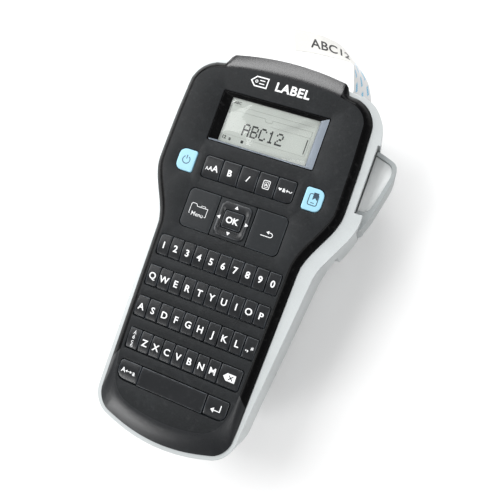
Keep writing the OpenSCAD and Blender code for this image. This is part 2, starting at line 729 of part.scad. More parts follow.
module tape_spool() {
    color("#e9e7df") spool(spool_x, spool_y, spool_r, spool_post_r + run_fit, spool_r + 2);
}
module takeup_spool() {
    color("#55585d") spool(take_x, take_y, take_r, take_post_r + run_fit, take_r + 1.6);
}
module print_head() {
    color("#4d5054") union() {
        box(tape_x + 0.3, tape_x + 1.5, platen_y - 4, platen_y + 4, tape_z - 7, tape_z + 7.4);
        box(tape_x + 1.4, tape_x + 4.2, platen_y - 4.6, platen_y + 4.6, tape_z - 7.4, bay_z);
    }
}
module platen_roller() {
    color("#27292c") union() {
        rod(platen_x, platen_y, tape_z - 7, tape_z + 7, platen_r);
        rod(platen_x, platen_y, tape_z, gear_z + gear_t, shaft_r);
    }
}
// A straight-sided tooth wheel, cut low enough to run freely
module gear(n, turn) {
    rp = gear_m * n / 2;
    r0 = rp - 1.15 * gear_m;
    r1 = rp + 0.85 * gear_m;
    w0 = 0.98 * gear_m;
    w1 = 0.36 * gear_m;
    rotate(turn) linear_extrude(gear_t) polygon(
        [for (i = [0:n - 1], p = [[r0, -w0], [r1, -w1], [r1, w1], [r0, w0]])
            let (c = cos(360 * i / n), s = sin(360 * i / n)) [c * p[0] - s * p[1], s * p[0] + c * p[1]]]);
}
module gear_at(x, y, n, turn, bore) {
    translate([x, y, gear_z]) difference() {
        gear(n, turn);
        translate([0, 0, -1]) cylinder(r = bore, h = gear_t + 2);
    }
}
module platen_gear() {
    color("#e3e1da") gear_at(platen_x, platen_y, teeth_platen, idler_a, shaft_r);
}
module idler_gear() {
    color("#e3e1da") gear_at(idler_x, idler_y, teeth_idler, idler_a + 180 + 180 / teeth_idler,
        post_r + run_fit);
}
module motor_pinion() {
    color("#c9b98a") union() {
        translate([pinion_x, pinion_y, gear_z]) gear(teeth_pinion, idler_a + 180 + pinion_turn);
        rod(pinion_x, pinion_y, gear_z + 1, motor_z - 0.7, 0.8);
    }
}
// Turns the pinion so that a gap meets the idler's tooth
idler_face = (180 / teeth_idler + 180) % (360 / teeth_idler);
pinion_turn = abs(idler_face) < 0.01 ? 180 / teeth_pinion : 0;
module drive_motor() {
    color("#a7abb0") union() {
        rod(pinion_x, pinion_y, motor_z + 0.02, motor_top, motor_r);
        rod(pinion_x, pinion_y, motor_z - 0.6, motor_z + 1, 1.8);
    }
}

// ---------- tape ----------
// Middle of the tape and the way its width points, from the cassette to its free end
tape_way = [[[24, -11, tape_z], [0, 0, 1]], [[30, -8.5, tape_z], [0, 0, 1]],
    [[36, -2.5, tape_z], [0, 0, 1]], [[tape_x, 4, tape_z], [0, 0, 1]],
    [[tape_x, 16, tape_z], [0, 0, 1]], [[tape_x, 30, tape_z], [0, 0, 1]],
    [[tape_x, 41, tape_z], [0, 0, 1]], [[38.6, 45, tape_z + 3.4], [-0.5, 0.25, 0.85]],
    [[37.3, 49, 24], [-0.77, -0.13, 0.63]], [[35.5, 54, 27.5], [-0.6, -0.36, 0.7]],
    [[33.3, 57.9, 31.2], [-0.41, -0.39, 0.82]], [[30.8, 60.3, 34.8], [-0.12, -0.47, 0.87]],
    [[28.1, 62.2, 38], [0.2, -0.55, 0.81]], [[22.6, 63.6, 41.6], [0.36, -0.78, 0.5]],
    [[16.9, 63.6, 44], [0.35, -0.88, 0.3]], [[10.3, 63.2, 46], [0.38, -0.91, 0.16]],
    [[3, 62.6, 47.2], [0.4, -0.91, 0.05]], [[-3.1, 61.6, 48], [0.42, -0.91, 0]]];
function spline(a, b, c, d, t) = 0.5 * ((2 * b) + (c - a) * t
    + (2 * a - 5 * b + 4 * c - d) * t * t + (3 * b - a - 3 * c + d) * t * t * t);
function way_at(k, i, t) = spline(tape_way[max(0, i - 1)][k], tape_way[i][k],
    tape_way[i + 1][k], tape_way[min(len(tape_way) - 1, i + 2)][k], t);
tape_n = 4;
tape_k = (len(tape_way) - 1) * tape_n;
function way(k, j) = j == tape_k ? tape_way[len(tape_way) - 1][k]
    : way_at(k, floor(j / tape_n), (j % tape_n) / tape_n);
module label_tape() {
    t = 0.12;
    ring = [for (j = [0:tape_k])
        let (p = way(0, j), w = unit(way(1, j)),
            f = unit(way(0, min(tape_k, j + 1)) - way(0, max(0, j - 1))), n = unit(cross(f, w)))
        [p - w * tape_w / 2 - n * t, p - w * tape_w / 2 + n * t,
            p + w * tape_w / 2 + n * t, p + w * tape_w / 2 - n * t]];
    m = len(ring);
    color("#f2f1ec") polyhedron(points = [for (r = ring, p = r) p],
        faces = concat([[0, 1, 2], [0, 2, 3]],
            [for (j = [0:m - 2], k = [0:3]) let (q = (k + 1) % 4)
                [4 * j + k, 4 * j + 4 + k, 4 * j + q]],
            [for (j = [0:m - 2], k = [0:3]) let (q = (k + 1) % 4)
                [4 * j + 4 + k, 4 * j + 4 + q, 4 * j + q]],
            [[4 * m - 4, 4 * m - 2, 4 * m - 3], [4 * m - 4, 4 * m - 1, 4 * m - 2]]));
}

// ---------- cutter ----------
module cutter_lever() {
    color("#c3c6c9") translate([lever_x, lever_y, 0]) difference() {
        union() {
            difference() {
                slab(lever_plan, lever_z0, lever_z1);
                slab(lever_dish, lever_z1 - dish_t, lever_z1 + 1);
            }
            rod(0, 0, lever_z0, lever_z1, barrel_r);
            box(arm_x0 - lever_x, arm_x1 - lever_x, 30, blade_y + 2.6 - lever_y, arm_z0, arm_z1);
            box(arm_x0 - lever_x, 0, 29, 33, arm_z0, arm_z1);
        }
        rod(0, 0, -1, lever_z1 + 1, lever_pin_r + run_fit);
    }
}
module lever_pin() {
    color("#a9adb2") rod(lever_x, lever_y, lever_z0 - 3, skirt_z - 0.2, lever_pin_r);
}
module blade_carrier() {
    color("#e3e1da") difference() {
        box(carrier_x0, arm_x0 - 0.4, recess_y1 + wall + 0.3, blade_y + 1.8,
            cas_z + 4.4, bay_z - 0.4);
        box(carrier_x0 - 1, blade_root, blade_y - blade_t / 2, blade_y + blade_t / 2,
            tape_z - tape_w / 2 - 1.1, tape_z + tape_w / 2 + 1.9);
    }
}
module cutter_blade() {
    color("#cdd1d6") translate([0, 0, tape_z - tape_w / 2 - 0.6])
        linear_extrude(tape_w + 1.2) polygon([
            [blade_root, blade_y - blade_t / 2], [blade_root, blade_y + blade_t / 2],
            [blade_x + 1, blade_y + blade_t / 2], [blade_x, blade_y],
            [blade_x + 1, blade_y - blade_t / 2]]);
}

front_cover();
rear_cover();
display_window();
display_bezel();
display_module();
keypad_mat();
main_board();
cassette_bay();
cassette_shell();
tape_spool();
takeup_spool();
label_tape();
print_head();
platen_roller();
platen_gear();
idler_gear();
motor_pinion();
drive_motor();
cutter_lever();
lever_pin();
cutter_blade();
blade_carrier();
cassette_door();
door_hinge_pin();
battery_tray();
battery_door();
batteries();
battery_contacts();
case_screws();
blue_key(-1);  // key_power
blue_key(1);  // key_print
format_key(0);  // key_size
format_key(1);  // key_bold
format_key(2);  // key_italic
format_key(3);  // key_frame
format_key(4);  // key_insert
key_menu();
key_back();
nav_ring();
key_ok();
digit_key(0);  // key_1
digit_key(1);  // key_2
digit_key(2);  // key_3
digit_key(3);  // key_4
digit_key(4);  // key_5
digit_key(5);  // key_6
digit_key(6);  // key_7
digit_key(7);  // key_8
digit_key(8);  // key_9
digit_key(9);  // key_0
keys_row_q();
keys_row_a();
keys_row_z();
key_accent();
key_delete();
key_caps();
key_space();
key_return();
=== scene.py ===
# %% [markdown]
# A handheld label maker, lying on its back. The solid model gives every size and every joint. These cells
# dress it: the parts that show are made again as fine surfaces, and every part gets a finish.
# %% Load the solid model
import json
import math
import bpy
import bmesh
import numpy as np
from mathutils import Matrix, Vector
from mathutils.geometry import delaunay_2d_cdt


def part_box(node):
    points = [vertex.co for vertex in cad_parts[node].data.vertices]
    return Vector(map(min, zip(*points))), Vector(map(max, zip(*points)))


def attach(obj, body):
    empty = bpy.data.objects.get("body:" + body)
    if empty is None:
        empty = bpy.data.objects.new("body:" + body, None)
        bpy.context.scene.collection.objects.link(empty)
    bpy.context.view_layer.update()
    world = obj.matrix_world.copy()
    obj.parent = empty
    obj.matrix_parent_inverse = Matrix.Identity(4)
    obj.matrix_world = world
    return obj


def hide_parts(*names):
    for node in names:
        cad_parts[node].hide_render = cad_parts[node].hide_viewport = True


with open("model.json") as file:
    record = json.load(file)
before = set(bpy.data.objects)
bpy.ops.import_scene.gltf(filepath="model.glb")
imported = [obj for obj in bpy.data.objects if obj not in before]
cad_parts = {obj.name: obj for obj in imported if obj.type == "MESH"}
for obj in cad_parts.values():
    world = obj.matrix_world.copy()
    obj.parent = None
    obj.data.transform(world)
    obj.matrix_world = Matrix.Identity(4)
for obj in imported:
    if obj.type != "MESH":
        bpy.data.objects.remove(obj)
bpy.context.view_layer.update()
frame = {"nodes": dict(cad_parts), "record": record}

MM = 0.001
nodes = frame["nodes"]
node_body = {n: b for b, members in frame["record"]["behaviour"]["bodies"].items() for n in members}


def placed(name, data):
    """A new object with this data, in the scene."""
    obj = bpy.data.objects.new(name, data)
    bpy.context.scene.collection.objects.link(obj)
    return obj


# %% [markdown]
# The camera looks down on the keys from the lever's side, turned so that the body leans over to the left.
# Its right and its back are written as they lie in the part's own frame, and its up is square to both.
# %% Camera
CAMERA_AT = Vector((75.886, -60.665, 315.081)) * MM
camera_data = bpy.data.cameras.new("camera")
camera_data.lens = 39.6
camera_data.sensor_width = 36
camera = placed("camera", camera_data)
camera_right = Vector((0.9186, 0.3396, -0.2019)).normalized()
camera_back = Vector((0.2303, -0.0449, 0.9721)).normalized()
camera_up = camera_back.cross(camera_right).normalized()
camera_right = camera_up.cross(camera_back)
turn = Matrix((camera_right, camera_up, camera_back)).transposed().to_4x4()
camera.matrix_world = Matrix.Translation(CAMERA_AT) @ turn
bpy.context.scene.camera = camera
print("camera at", [round(v, 3) for v in camera.location])

# %% [markdown]
# A material is a graph of nodes. To write it as arithmetic, one small class wraps an output socket, and
# + - * > < on it add Math nodes. Finish wraps the material and adds any other node by its type.
# %% Shader arithmetic
class Flow:
    """One output in a finish: a + b and the like add a Math node with that operation."""

    def __init__(self, finish, socket):
        self.finish, self.socket = finish, socket

    def math(self, operation, other):
        return self.finish.add("ShaderNodeMath", {0: self, 1: other}, operation=operation)

    def __add__(self, o):
        return self.math("ADD", o)

    def __sub__(self, o):
        return self.math("SUBTRACT", o)

    def __mul__(self, o):
        return self.math("MULTIPLY", o)

    def __gt__(self, o):
        return self.math("GREATER_THAN", o)

    def __lt__(self, o):
        return self.math("LESS_THAN", o)


class Finish:
    """A material whose last node is Principled BSDF; set() fills its sockets."""

    def __init__(self, name, **fixed):
        self.material = bpy.data.materials.new(name)
        self.material.use_nodes = True
        self.tree = self.material.node_tree
        self.surface = self.tree.nodes["Principled BSDF"]
        self.set(**fixed)

    def add(self, kind, inputs=(), out=0, **settings):
        """A new node with these inputs and settings, as the Flow from its output number out."""
        node = self.tree.nodes.new(kind)
        for key, value in settings.items():
            setattr(node, key, value)
        for key, value in dict(inputs).items():
            self.fill(node.inputs[key], value)
        return Flow(self, node.outputs[out])

    def fill(self, socket, value):
        if isinstance(value, Flow):
            self.tree.links.new(value.socket, socket)
        elif isinstance(value, (tuple, list)) and len(value) == 3 and socket.type == "RGBA":
            socket.default_value = (*value, 1)
        else:
            socket.default_value = value

    def set(self, **sockets):
        for key, value in sockets.items():
            self.fill(self.surface.inputs[key.replace("_", " ")], value)

    def place(self):
        return self.add("ShaderNodeTexCoord", out=3)

    def noise(self, scale, detail=3, where=None):
        return self.add("ShaderNodeTexNoise", {
            "Vector": where or self.place(), "Scale": scale, "Detail": detail})

    def range(self, flow, low, high, to_low=0.0, to_high=1.0):
        """The flow's stretch from low to high spread over to_low to to_high, and held at its ends."""
        return self.add("ShaderNodeMapRange", {0: flow, 1: low, 2: high, 3: to_low, 4: to_high})

    def mix(self, factor, a, b):
        return self.add("ShaderNodeMix", {0: factor, 6: a, 7: b}, 2, data_type="RGBA")

    def bump(self, height, distance, normal=None):
        values = {"Height": height, "Distance": distance}
        if normal:
            values["Normal"] = normal
        return self.add("ShaderNodeBump", values)

    def soft_edges(self, radius):
        return self.add("ShaderNodeBevel", {"Radius": radius}, samples=4)


def shade(colour, k):
    """The colour times k."""
    return tuple(min(1.0, c * k) for c in colour)


# %% [markdown]
# Almost every part is moulded plastic. What tells one from another is its colour, how rough the mould was,
# and how its edges are lightened. The mould's spark-eroded grain is two noises of different size in a bump,
# the same noises vary the roughness and the colour a little, and edges are made lighter, partly as rubbed
# wear and partly as a painted highlight. The brow round the face is smoother than the rest, so its roughness
# gets a finer noise of its own.
# %% Moulded plastics
def moulded(name, colour, rough=0.5, grain=0.3, depth=0.02, speckle=0.12, edge_wear_and_painted_light=0.5, edge=0.25, **fixed):
    """Plastic with grain of the given size and depth in mm. Edges are 1 + edge_wear_and_painted_light times
    as light: rubbed wear and a painted highlight, and a painted shade where the factor is below zero.
    """
    f = Finish(name, **fixed)
    fine = f.noise(1 / (grain * MM), 2)
    broad = f.noise(45, 3)
    dust = f.range(f.noise(420, 4), 0.56, 0.74)
    # The edge attribute times a patchy noise lightens the edges: part rubbed wear, part painted highlight.
    rub_and_painted_light = f.add("ShaderNodeAttribute", out=2, attribute_name="edge") * f.range(f.noise(260, 3), 0.3, 0.62)
    tone = f.mix(f.range(broad, 0.3, 0.7), shade(colour, 1 - speckle / 3), shade(colour, 1 + speckle / 3))
    tone = f.mix(f.range(fine, 0.35, 0.65) * 0.6, tone, shade(colour, 1 + 2.2 * speckle))
    tone = f.mix(rub_and_painted_light * 0.8, tone, shade(colour, 1 + edge_wear_and_painted_light))
    tone = f.mix(dust * 0.03, tone, (0.25, 0.25, 0.25))
    f.set(Base_Color=tone, Roughness=f.range(broad * 0.5 + fine * 0.5, 0.3, 0.7, rough - 0.06, rough + 0.06))
    f.set(Normal=f.bump(fine, depth * MM, f.soft_edges(edge * MM)))
    return f


black = moulded("black_textured", (0.0075, 0.0085, 0.0095), 0.46, 0.42, 0.08, 0.5, edge_wear_and_painted_light=1.6,
                Specular_IOR_Level=0.22)
brow_black = moulded("black_brow", (0.012, 0.012, 0.0135), 0.24, 0.3, 0.012, 0.2, edge_wear_and_painted_light=1.2)
brow_black.set(Roughness=brow_black.range(brow_black.noise(900, 2), 0.3, 0.7, 0.25, 0.29))
chin_black = moulded("black_chin", (0.007, 0.008, 0.0095), 0.33, 0.4, 0.06, 0.4, edge_wear_and_painted_light=1.2)
# A near-black, less shiny copy of the cover's black: painted shade for slopes that turn away from the light.
painted_shade_black = moulded("black_satin_painted_shade", (0.0015, 0.0015, 0.0017), 0.26, 0.2, 0.004, 0.15, edge_wear_and_painted_light=2.0,
                Specular_IOR_Level=0.1)
# The key rims are lightened strongly: rubbed wear and a painted highlight along the rim.
key_dark = moulded("key_dark", (0.0065, 0.0075, 0.009), 0.34, 0.3, 0.016, 0.22, edge_wear_and_painted_light=7,
                   Specular_IOR_Level=0.4)
panel_dark = moulded("panel_dark", (0.010, 0.012, 0.014), 0.42, 0.3, 0.014, 0.12, edge_wear_and_painted_light=3.0,
                     Specular_IOR_Level=0.3)
ring_dark = moulded("ring_dark", (0.010, 0.011, 0.0125), 0.3, 0.3, 0.01, 0.12, edge_wear_and_painted_light=5.0)
key_blue = moulded("key_blue", (0.3, 0.56, 0.7), 0.38, 0.3, 0.012, 0.04, edge_wear_and_painted_light=0.2)
ink_white = moulded("ink_white", (0.86, 0.87, 0.88), 0.5, 0.3, 0.004, 0.04, edge_wear_and_painted_light=0)
ink_blue_dark = moulded("ink_navy", (0.02, 0.045, 0.07), 0.5, 0.3, 0.004, 0.05, edge_wear_and_painted_light=0)
lever_silver = moulded("silver_lever", (0.36, 0.385, 0.39), 0.4, 0.22, 0.006, 0.06, edge_wear_and_painted_light=0.35,
                       Metallic=0.35)
lever_painted_lit = moulded("silver_dish_painted_lit", (0.7, 0.72, 0.72), 0.42, 0.22, 0.006, 0.06, edge_wear_and_painted_light=0.35, Metallic=0.2)
silver = moulded("silver_cover", (0.56, 0.59, 0.595), 0.38, 0.22, 0.006, 0.06, edge_wear_and_painted_light=0.3, edge=0.5,
                 Metallic=0.4)
chassis = moulded("chassis", (0.03, 0.033, 0.037), 0.55, 0.5, 0.02)
ivory = moulded("cassette_ivory", (0.68, 0.66, 0.6), 0.45, 0.4, 0.01, 0.05)
silicone = moulded("silicone", (0.25, 0.27, 0.29), 0.7, 0.3, 0.01)
rubber = moulded("roller_rubber", (0.02, 0.02, 0.022), 0.75, 0.25, 0.02)
print("plastics", len(bpy.data.materials))

# %% [markdown]
# The other finishes inside: brushed steel, nickel springs, the green board with its faint tracks, the
# printed jackets of the cells.
# %% Metals and the rest
BRUSHED = (1, 1, 14)


def metal(name, colour):
    """Metal brushed along one way: noise on coordinates that are stretched."""
    f = Finish(name, Metallic=1.0)
    lines = f.noise(900, 3, f.add("ShaderNodeMapping", {"Vector": f.place(), "Scale": BRUSHED}))
    broad = f.noise(60, 2)
    f.set(Base_Color=f.mix(broad, shade(colour, 0.85), shade(colour, 1.1)))
    f.set(Roughness=f.range(lines, 0.3, 0.7, 0.22, 0.4))
    f.set(Normal=f.bump(lines, 0.004 * MM, f.soft_edges(0.1 * MM)))
    return f


steel = metal("steel", (0.62, 0.62, 0.63))
brass = metal("nickel_brass", (0.7, 0.62, 0.42))
board = Finish("board_green")
tracks = board.add("ShaderNodeTexVoronoi", {"Vector": board.place(), "Scale": 240.0}, distance="MANHATTAN")
tracks = board.range(tracks, 0.28, 0.32)
board.set(Base_Color=board.mix(tracks, (0.03, 0.13, 0.06), (0.02, 0.2, 0.09)), Roughness=tracks * 0.2 + 0.3)
board.set(Normal=board.bump(tracks, 0.03 * MM))
cells = Finish("cell_jacket")
bands = cells.add("ShaderNodeTexWave", {"Vector": cells.place(), "Scale": 12.0}, bands_direction="Y")
cells.set(Base_Color=cells.mix(bands > 0.75, (0.05, 0.12, 0.09), (0.45, 0.36, 0.16)), Metallic=0.4)
cells.set(Roughness=cells.noise(300) * 0.2 + 0.22)

for name, finish in {
        "keypad_mat": silicone, "main_board": board, "cassette_bay": chassis, "cassette_shell": ivory,
        "tape_spool": ivory, "takeup_spool": chassis, "print_head": steel, "platen_roller": rubber,
        "platen_gear": ivory, "idler_gear": ivory, "motor_pinion": brass, "drive_motor": steel,
        "lever_pin": steel, "cutter_blade": steel, "blade_carrier": ivory, "door_hinge_pin": steel,
        "battery_tray": chassis, "batteries": cells, "battery_contacts": brass,
        "case_screws": steel, "display_module": chassis}.items():
    for held in nodes[name].material_slots:
        held.material = finish.material
print("finishes", len(bpy.data.materials))

# %% [markdown]
# Every new surface is a block of rows: each row is a closed line of points in space, and neighbouring
# rows are joined by four-sided faces. Whole rows are worked out at once with numpy.
# %% Surfaces from rows
def quads(rows, points):
    """Face (i, j) joins points j and j + 1 of rows i and i + 1, wrapping round the row."""
    i, j = np.meshgrid(np.arange(rows - 1), np.arange(points), indexing="ij")
    k = (j + 1) % points
    faces = np.stack([i * points + j, i * points + k, (i + 1) * points + k, (i + 1) * points + j], -1)
    return faces.reshape(-1, 4)


def lifted(xy, z):
    """A flat line at height z, a number or one value for each point."""
    return np.column_stack([xy, np.broadcast_to(z, len(xy))])


def stack(rows):
    """Rows joined into one closed solid: quads between them, and one face over each end."""
    n, k = len(rows), len(rows[0])
    faces = [list(f) for f in quads(n, k)] + [list(range(k))[::-1], list(range((n - 1) * k, n * k))]
    return np.vstack(rows), faces


def joined(parts):
    """Several (points, faces) made one, their face numbers moved on."""
    points, faces, first = [], [], 0
    for p, f in parts:
        points.append(np.asarray(p, float))
        faces += [[int(v) + first for v in face] for face in f]
        first += len(p)
    return np.vstack(points), faces


def piece(name, points, faces, finishes, body, stands_for=(), slot=None, which=None, edge=None,
          angle=38, weld=1e-4):
    """Makes the mesh in metres from points in mm, welds its seams and turns its faces outwards."""
    mesh = bpy.data.meshes.new(name)
    mesh.from_pydata((np.asarray(points) * MM).tolist(), [], [list(map(int, f)) for f in faces])
    for f in finishes:
        mesh.materials.append(f.material)
    if which is not None:
        mesh.polygons.foreach_set("material_index", np.asarray(which, np.int32))
    if edge is not None:
        mesh.attributes.new("edge", "FLOAT", "POINT").data.foreach_set("value", np.asarray(edge, np.float32))
    work = bmesh.new()
    work.from_mesh(mesh)
    if weld:
        bmesh.ops.remove_doubles(work, verts=work.verts, dist=weld * MM)
    bmesh.ops.recalc_face_normals(work, faces=work.faces)
    work.to_mesh(mesh)
    work.free()
    mesh.shade_smooth()
    mesh.set_sharp_from_angle(angle=math.radians(angle))
    obj = placed(name, mesh)
    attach(obj, body)
    if stands_for:
        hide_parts(*stands_for)
    return obj


def box_mm(name):
    """The node's lowest and highest corners, in mm."""
    low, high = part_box(name)
    return np.array(low) / MM, np.array(high) / MM


# %% [markdown]
# The plan of the body is one line: a round chin, a straight grip that widens up to the head, round
# shoulders and an almost straight top. The corners are the solid model's, and a curve is drawn through them.
# %% Plan of the body
FACE_Z, SPLIT_Z, UNDER_Z = 51.0, 47.0, 48.8
BASE_Y, TOP_Y = -154.3, 42.5
HEAD_X, GRIP_X = 50.8, 38.8
STEP_Y, STEP_LENGTH = -52, 35
STEPS = 8
CHIN_Y, CHIN_R = -138.0, 12
SHOULDER_X, SHOULDER_Y, SHOULDER_R = 34.3, 25, 15.5


def side_x(y):
    """Half width: the grip's, which narrows a little to the chin, then an S-shaped step to the head's."""
    t = np.clip((y - STEP_Y) / STEP_LENGTH, 0, 1)
    return np.where(y < STEP_Y, GRIP_X + 0.025 * (y - STEP_Y),
                    GRIP_X + (HEAD_X - GRIP_X) * t * t * (3 - 2 * t))


def half_plan():
    """Corners from the middle of the chin to the middle of the top: a flat parabola, the chin's arc, the
    side, the shoulder's arc and a flat parabola again."""
    cx = float(side_x(np.array(CHIN_Y))) - CHIN_R
    x = cx * np.arange(5) / 4.2
    a = np.radians(np.arange(-66, 1, 11))
    y = np.r_[-124, -100, -76, STEP_Y + STEP_LENGTH * np.arange(10) / 9]
    b = np.radians(np.arange(8, 79, 10))
    t = SHOULDER_X * np.arange(3, 0, -1) / 4
    return np.vstack([
        np.c_[x, BASE_Y + x * x / 160], np.c_[cx + CHIN_R * np.cos(a), CHIN_Y + CHIN_R * np.sin(a)],
        np.c_[side_x(y), y], [[HEAD_X, -6], [50.6, 8], [50.2, 17]],
        np.c_[SHOULDER_X + SHOULDER_R * np.cos(b), SHOULDER_Y + SHOULDER_R * np.sin(b)],
        np.c_[t, TOP_Y - t * t / 600]])


def whole(half, top=TOP_Y):
    """The half and its mirror image, once round, with the point (0, top) between them."""
    return np.vstack([half, [[0, top]], half[:0:-1] * [-1, 1]])


def cubic(a, b, c, d, t):
    """From b at t = 0 to c at t = 1. Its slope is half of c - a at b, and half of d - b at c."""
    bend, twist = 2 * a - 5 * b + 4 * c - d, 3 * b - a - 3 * c + d
    return 0.5 * (2 * b + (c - a) * t + bend * t ** 2 + twist * t ** 3)


def smooth_loop(corners):
    """A closed curve through the corners, with STEPS points from each to the next."""
    t = np.linspace(0, 1, STEPS, endpoint=False)[None, :, None]
    a, b, c, d = (np.roll(np.asarray(corners, float), k, 0)[:, None] for k in (1, 0, -1, -2))
    return np.reshape(cubic(a, b, c, d, t), (-1, 2))


def inward(loop):
    """The unit normal to the left of the way round."""
    d = np.roll(loop, -1, 0) - np.roll(loop, 1, 0)
    d /= np.linalg.norm(d, axis=1)[:, None]
    return np.c_[-d[:, 1], d[:, 0]]


def ramp(value, low, high):
    """0 below low, 1 above high, and an S-shaped step between."""
    t = np.clip((value - low) / (high - low), 0, 1)
    return t * t * (3 - 2 * t)


plan = smooth_loop(whole(half_plan()))
plan_in = inward(plan)
print("plan", plan.min(0).round(1), plan.max(0).round(1))


def rounded(x0, x1, y0, y1, radii, corner=5, side=5):
    """A rectangle with a round at each corner, radii bottom left, bottom right, top right, top left:
    a quarter circle at each, and each straight side cut into steps."""
    radii = [radii] * 4 if np.isscalar(radii) else radii
    mids = [(x0, y0, 1, 1), (x1, y0, -1, 1), (x1, y1, -1, -1), (x0, y1, 1, -1)]
    arcs = []
    for k, ((x, y, sx, sy), r) in enumerate(zip(mids, radii)):
        a = np.radians(180 + 90 * k + np.linspace(0, 90, corner))
        arcs.append(np.c_[x + sx * r + r * np.cos(a), y + sy * r + r * np.sin(a)])
    steps = np.linspace(0, 1, side + 2)[1:-1, None]
    line = [np.vstack([arc, arc[-1] + (nxt[0] - arc[-1]) * steps])
            for arc, nxt in zip(arcs, arcs[1:] + arcs[:1])]
    return np.vstack(line)


def grown(span, d, radii, corner=5, side=5):
    """The rounded rectangle of a span (left, right, bottom, top), moved out by d all round."""
    return rounded(span[0] - d, span[1] + d, span[2] - d, span[3] + d, radii, corner, side)


def plate(outer, holes, z):
    """Flat triangles between a closed line and the holes in it."""
    loops = [outer] + holes
    points = np.vstack(loops)
    ends = np.cumsum([0] + [len(v) for v in loops])
    edges = [(int(a + i), int(a + (i + 1) % (b - a))) for a, b in zip(ends, ends[1:]) for i in range(b - a)]
    out = delaunay_2d_cdt([Vector(p) for p in points.tolist()], edges, [], 1, 1e-5)
    xy, tris = np.array([v[:] for v in out[0]]), np.array(out[2])
    mid = xy[tris].mean(1)
    keep = np.ones(len(tris), bool)
    for h in holes:
        keep &= ~inside(mid, h)
    return lifted(xy, z), tris[keep]


def inside(points, loop):
    """True where a line drawn to the right of a point crosses the loop an odd number of times."""
    a, b = loop[None], np.roll(loop, -1, 0)[None]
    x, y = points[:, None, 0], points[:, None, 1]
    cross = (a[..., 1] > y) != (b[..., 1] > y)
    height = np.where(a[..., 1] == b[..., 1], 1, b[..., 1] - a[..., 1])
    at = a[..., 0] + (y - a[..., 1]) * (b[..., 0] - a[..., 0]) / height
    return (cross & (x < at)).sum(1) % 2 == 1


# %% [markdown]
# The face has slots for the keys and for the display. A run of keys shares one slot, which is the size of
# its caps and a small gap. Its corners are round where the run ends, and small at the right of the rows.
# %% Slots for the keys
GAP = 0.3
FLANGE = 1.0
FRAME_LAP = 1.3
DIGITS = [f"key_{d}" for d in "1234567890"]


def key_span(name):
    """Left, right, bottom and top of a key's cap: its flange stands out beyond it along Y."""
    low, high = box_mm(name)
    return np.array([low[0], high[0], low[1] + FLANGE, high[1] - FLANGE])


def slot_round(names, radii):
    """The slot round a run of keys, with the gap that they move in, and its corner radii."""
    x0, x1, y0, y1 = np.transpose([key_span(n) for n in names])
    return (x0.min() - GAP, x1.max() + GAP, y0.min() - GAP, y1.max() + GAP), radii


slots = [
    slot_round(["key_power"], [3.6, 1.5, 1.5, 3.6]), slot_round(["key_print"], [1.5, 3.6, 3.6, 1.5]),
    slot_round(["key_size", "key_insert"], [1.6, 2.6, 1.2, 1.6]),
    slot_round(["key_menu", "key_back"], [3.0] * 4),
    slot_round(DIGITS, [1.6, 1.2, 1.2, 1.6]), slot_round(["keys_row_q"], [1.2, 1.2, 1.2, 1.6]),
    slot_round(["keys_row_a"], [1.2, 1.2, 1.2, 1.6]),
    slot_round(["key_accent", "key_delete"], [1.2, 1.6, 1.2, 1.6]),
    slot_round(["key_caps", "key_return"], [4.6, 4.0, 1.2, 1.6])]
low, high = box_mm("display_bezel")
well = (low[0] + FRAME_LAP, high[0] - FRAME_LAP, low[1] + FRAME_LAP, high[1] - FRAME_LAP)
slots.append((well, [0.8] * 4))
print("slots", len(slots))

# %% [markdown]
# The front cover is one thin moulding. Round its edge a slope runs down to the rear cover: narrow and
# steep along the sides, a broad soft chin at the bottom, and at the top a visor that stands out over the
# tape. All of that is one surface carried round the plan, whose width changes on the way. The face inside
# it is flat, and every slot in it has a small radius at its lip.
# %% Front cover
LIP = 0.22
SLOPE, CHIN_POINTS = 4.2, 13
VISOR_X, VISOR_Y = 32.0, 49.1
WALL_OUT, WALL_IN = 1.0, 3.2
WALL_FOOT_Z, WALL_TOP_Z = 43.0, 46.3
SEAM = 0.12
SEAM_ROW, SLOPE_ROW = 3, 6
BROW_ROUND, BROW_DROP = 0.35, 0.03


def over_visor(x, y, full, none):
    """At the head, 1 up to x = full on both sides, 0 from x = none, and an S-shaped fall between."""
    return np.where(y > 30, 1 - ramp(np.abs(x), full, none), 0)


def half_brow():
    """The edge of the flat face: the plan moved in by the slope's width, and a wide chin at the bottom."""
    half = half_plan()
    x, y = half.T
    width = SLOPE + over_visor(x, y, 27, 35) * (0.6 * (x / VISOR_X) ** 2 - 1.8)
    edge = half + inward(whole(half))[:len(half)] * width[:, None]
    chin_x = [0, 5.9, 11.7, 17.6, 22.8, 25.8, 27.9, 29.4, 30.5, 31.3, 31.9, 32.3, 32.7]
    chin_y = [-143.1, -142.9, -142.3, -141.2, -139.5, -137.4, -135.1, -132.6, -130, -127.3, -124.4,
              -121.4, -117.5]
    edge[:CHIN_POINTS] = np.c_[chin_x, chin_y]
    return edge


brow = smooth_loop(whole(half_brow(), TOP_Y - 2.4))
x, y = plan.T
chin = 1 - ramp(y, -136, -120)
visor = over_visor(x, y, 31, 34)
crown = over_visor(x, y, 27, 35)
tip = plan + np.c_[0 * x, visor * np.maximum(0, VISOR_Y - 3.4 * (np.abs(x) / VISOR_X) ** 2 - y)]
tip_z = SPLIT_Z + 0.5 + 0.4 * visor
power = 1.55 - 0.25 * crown + 0.15 * chin
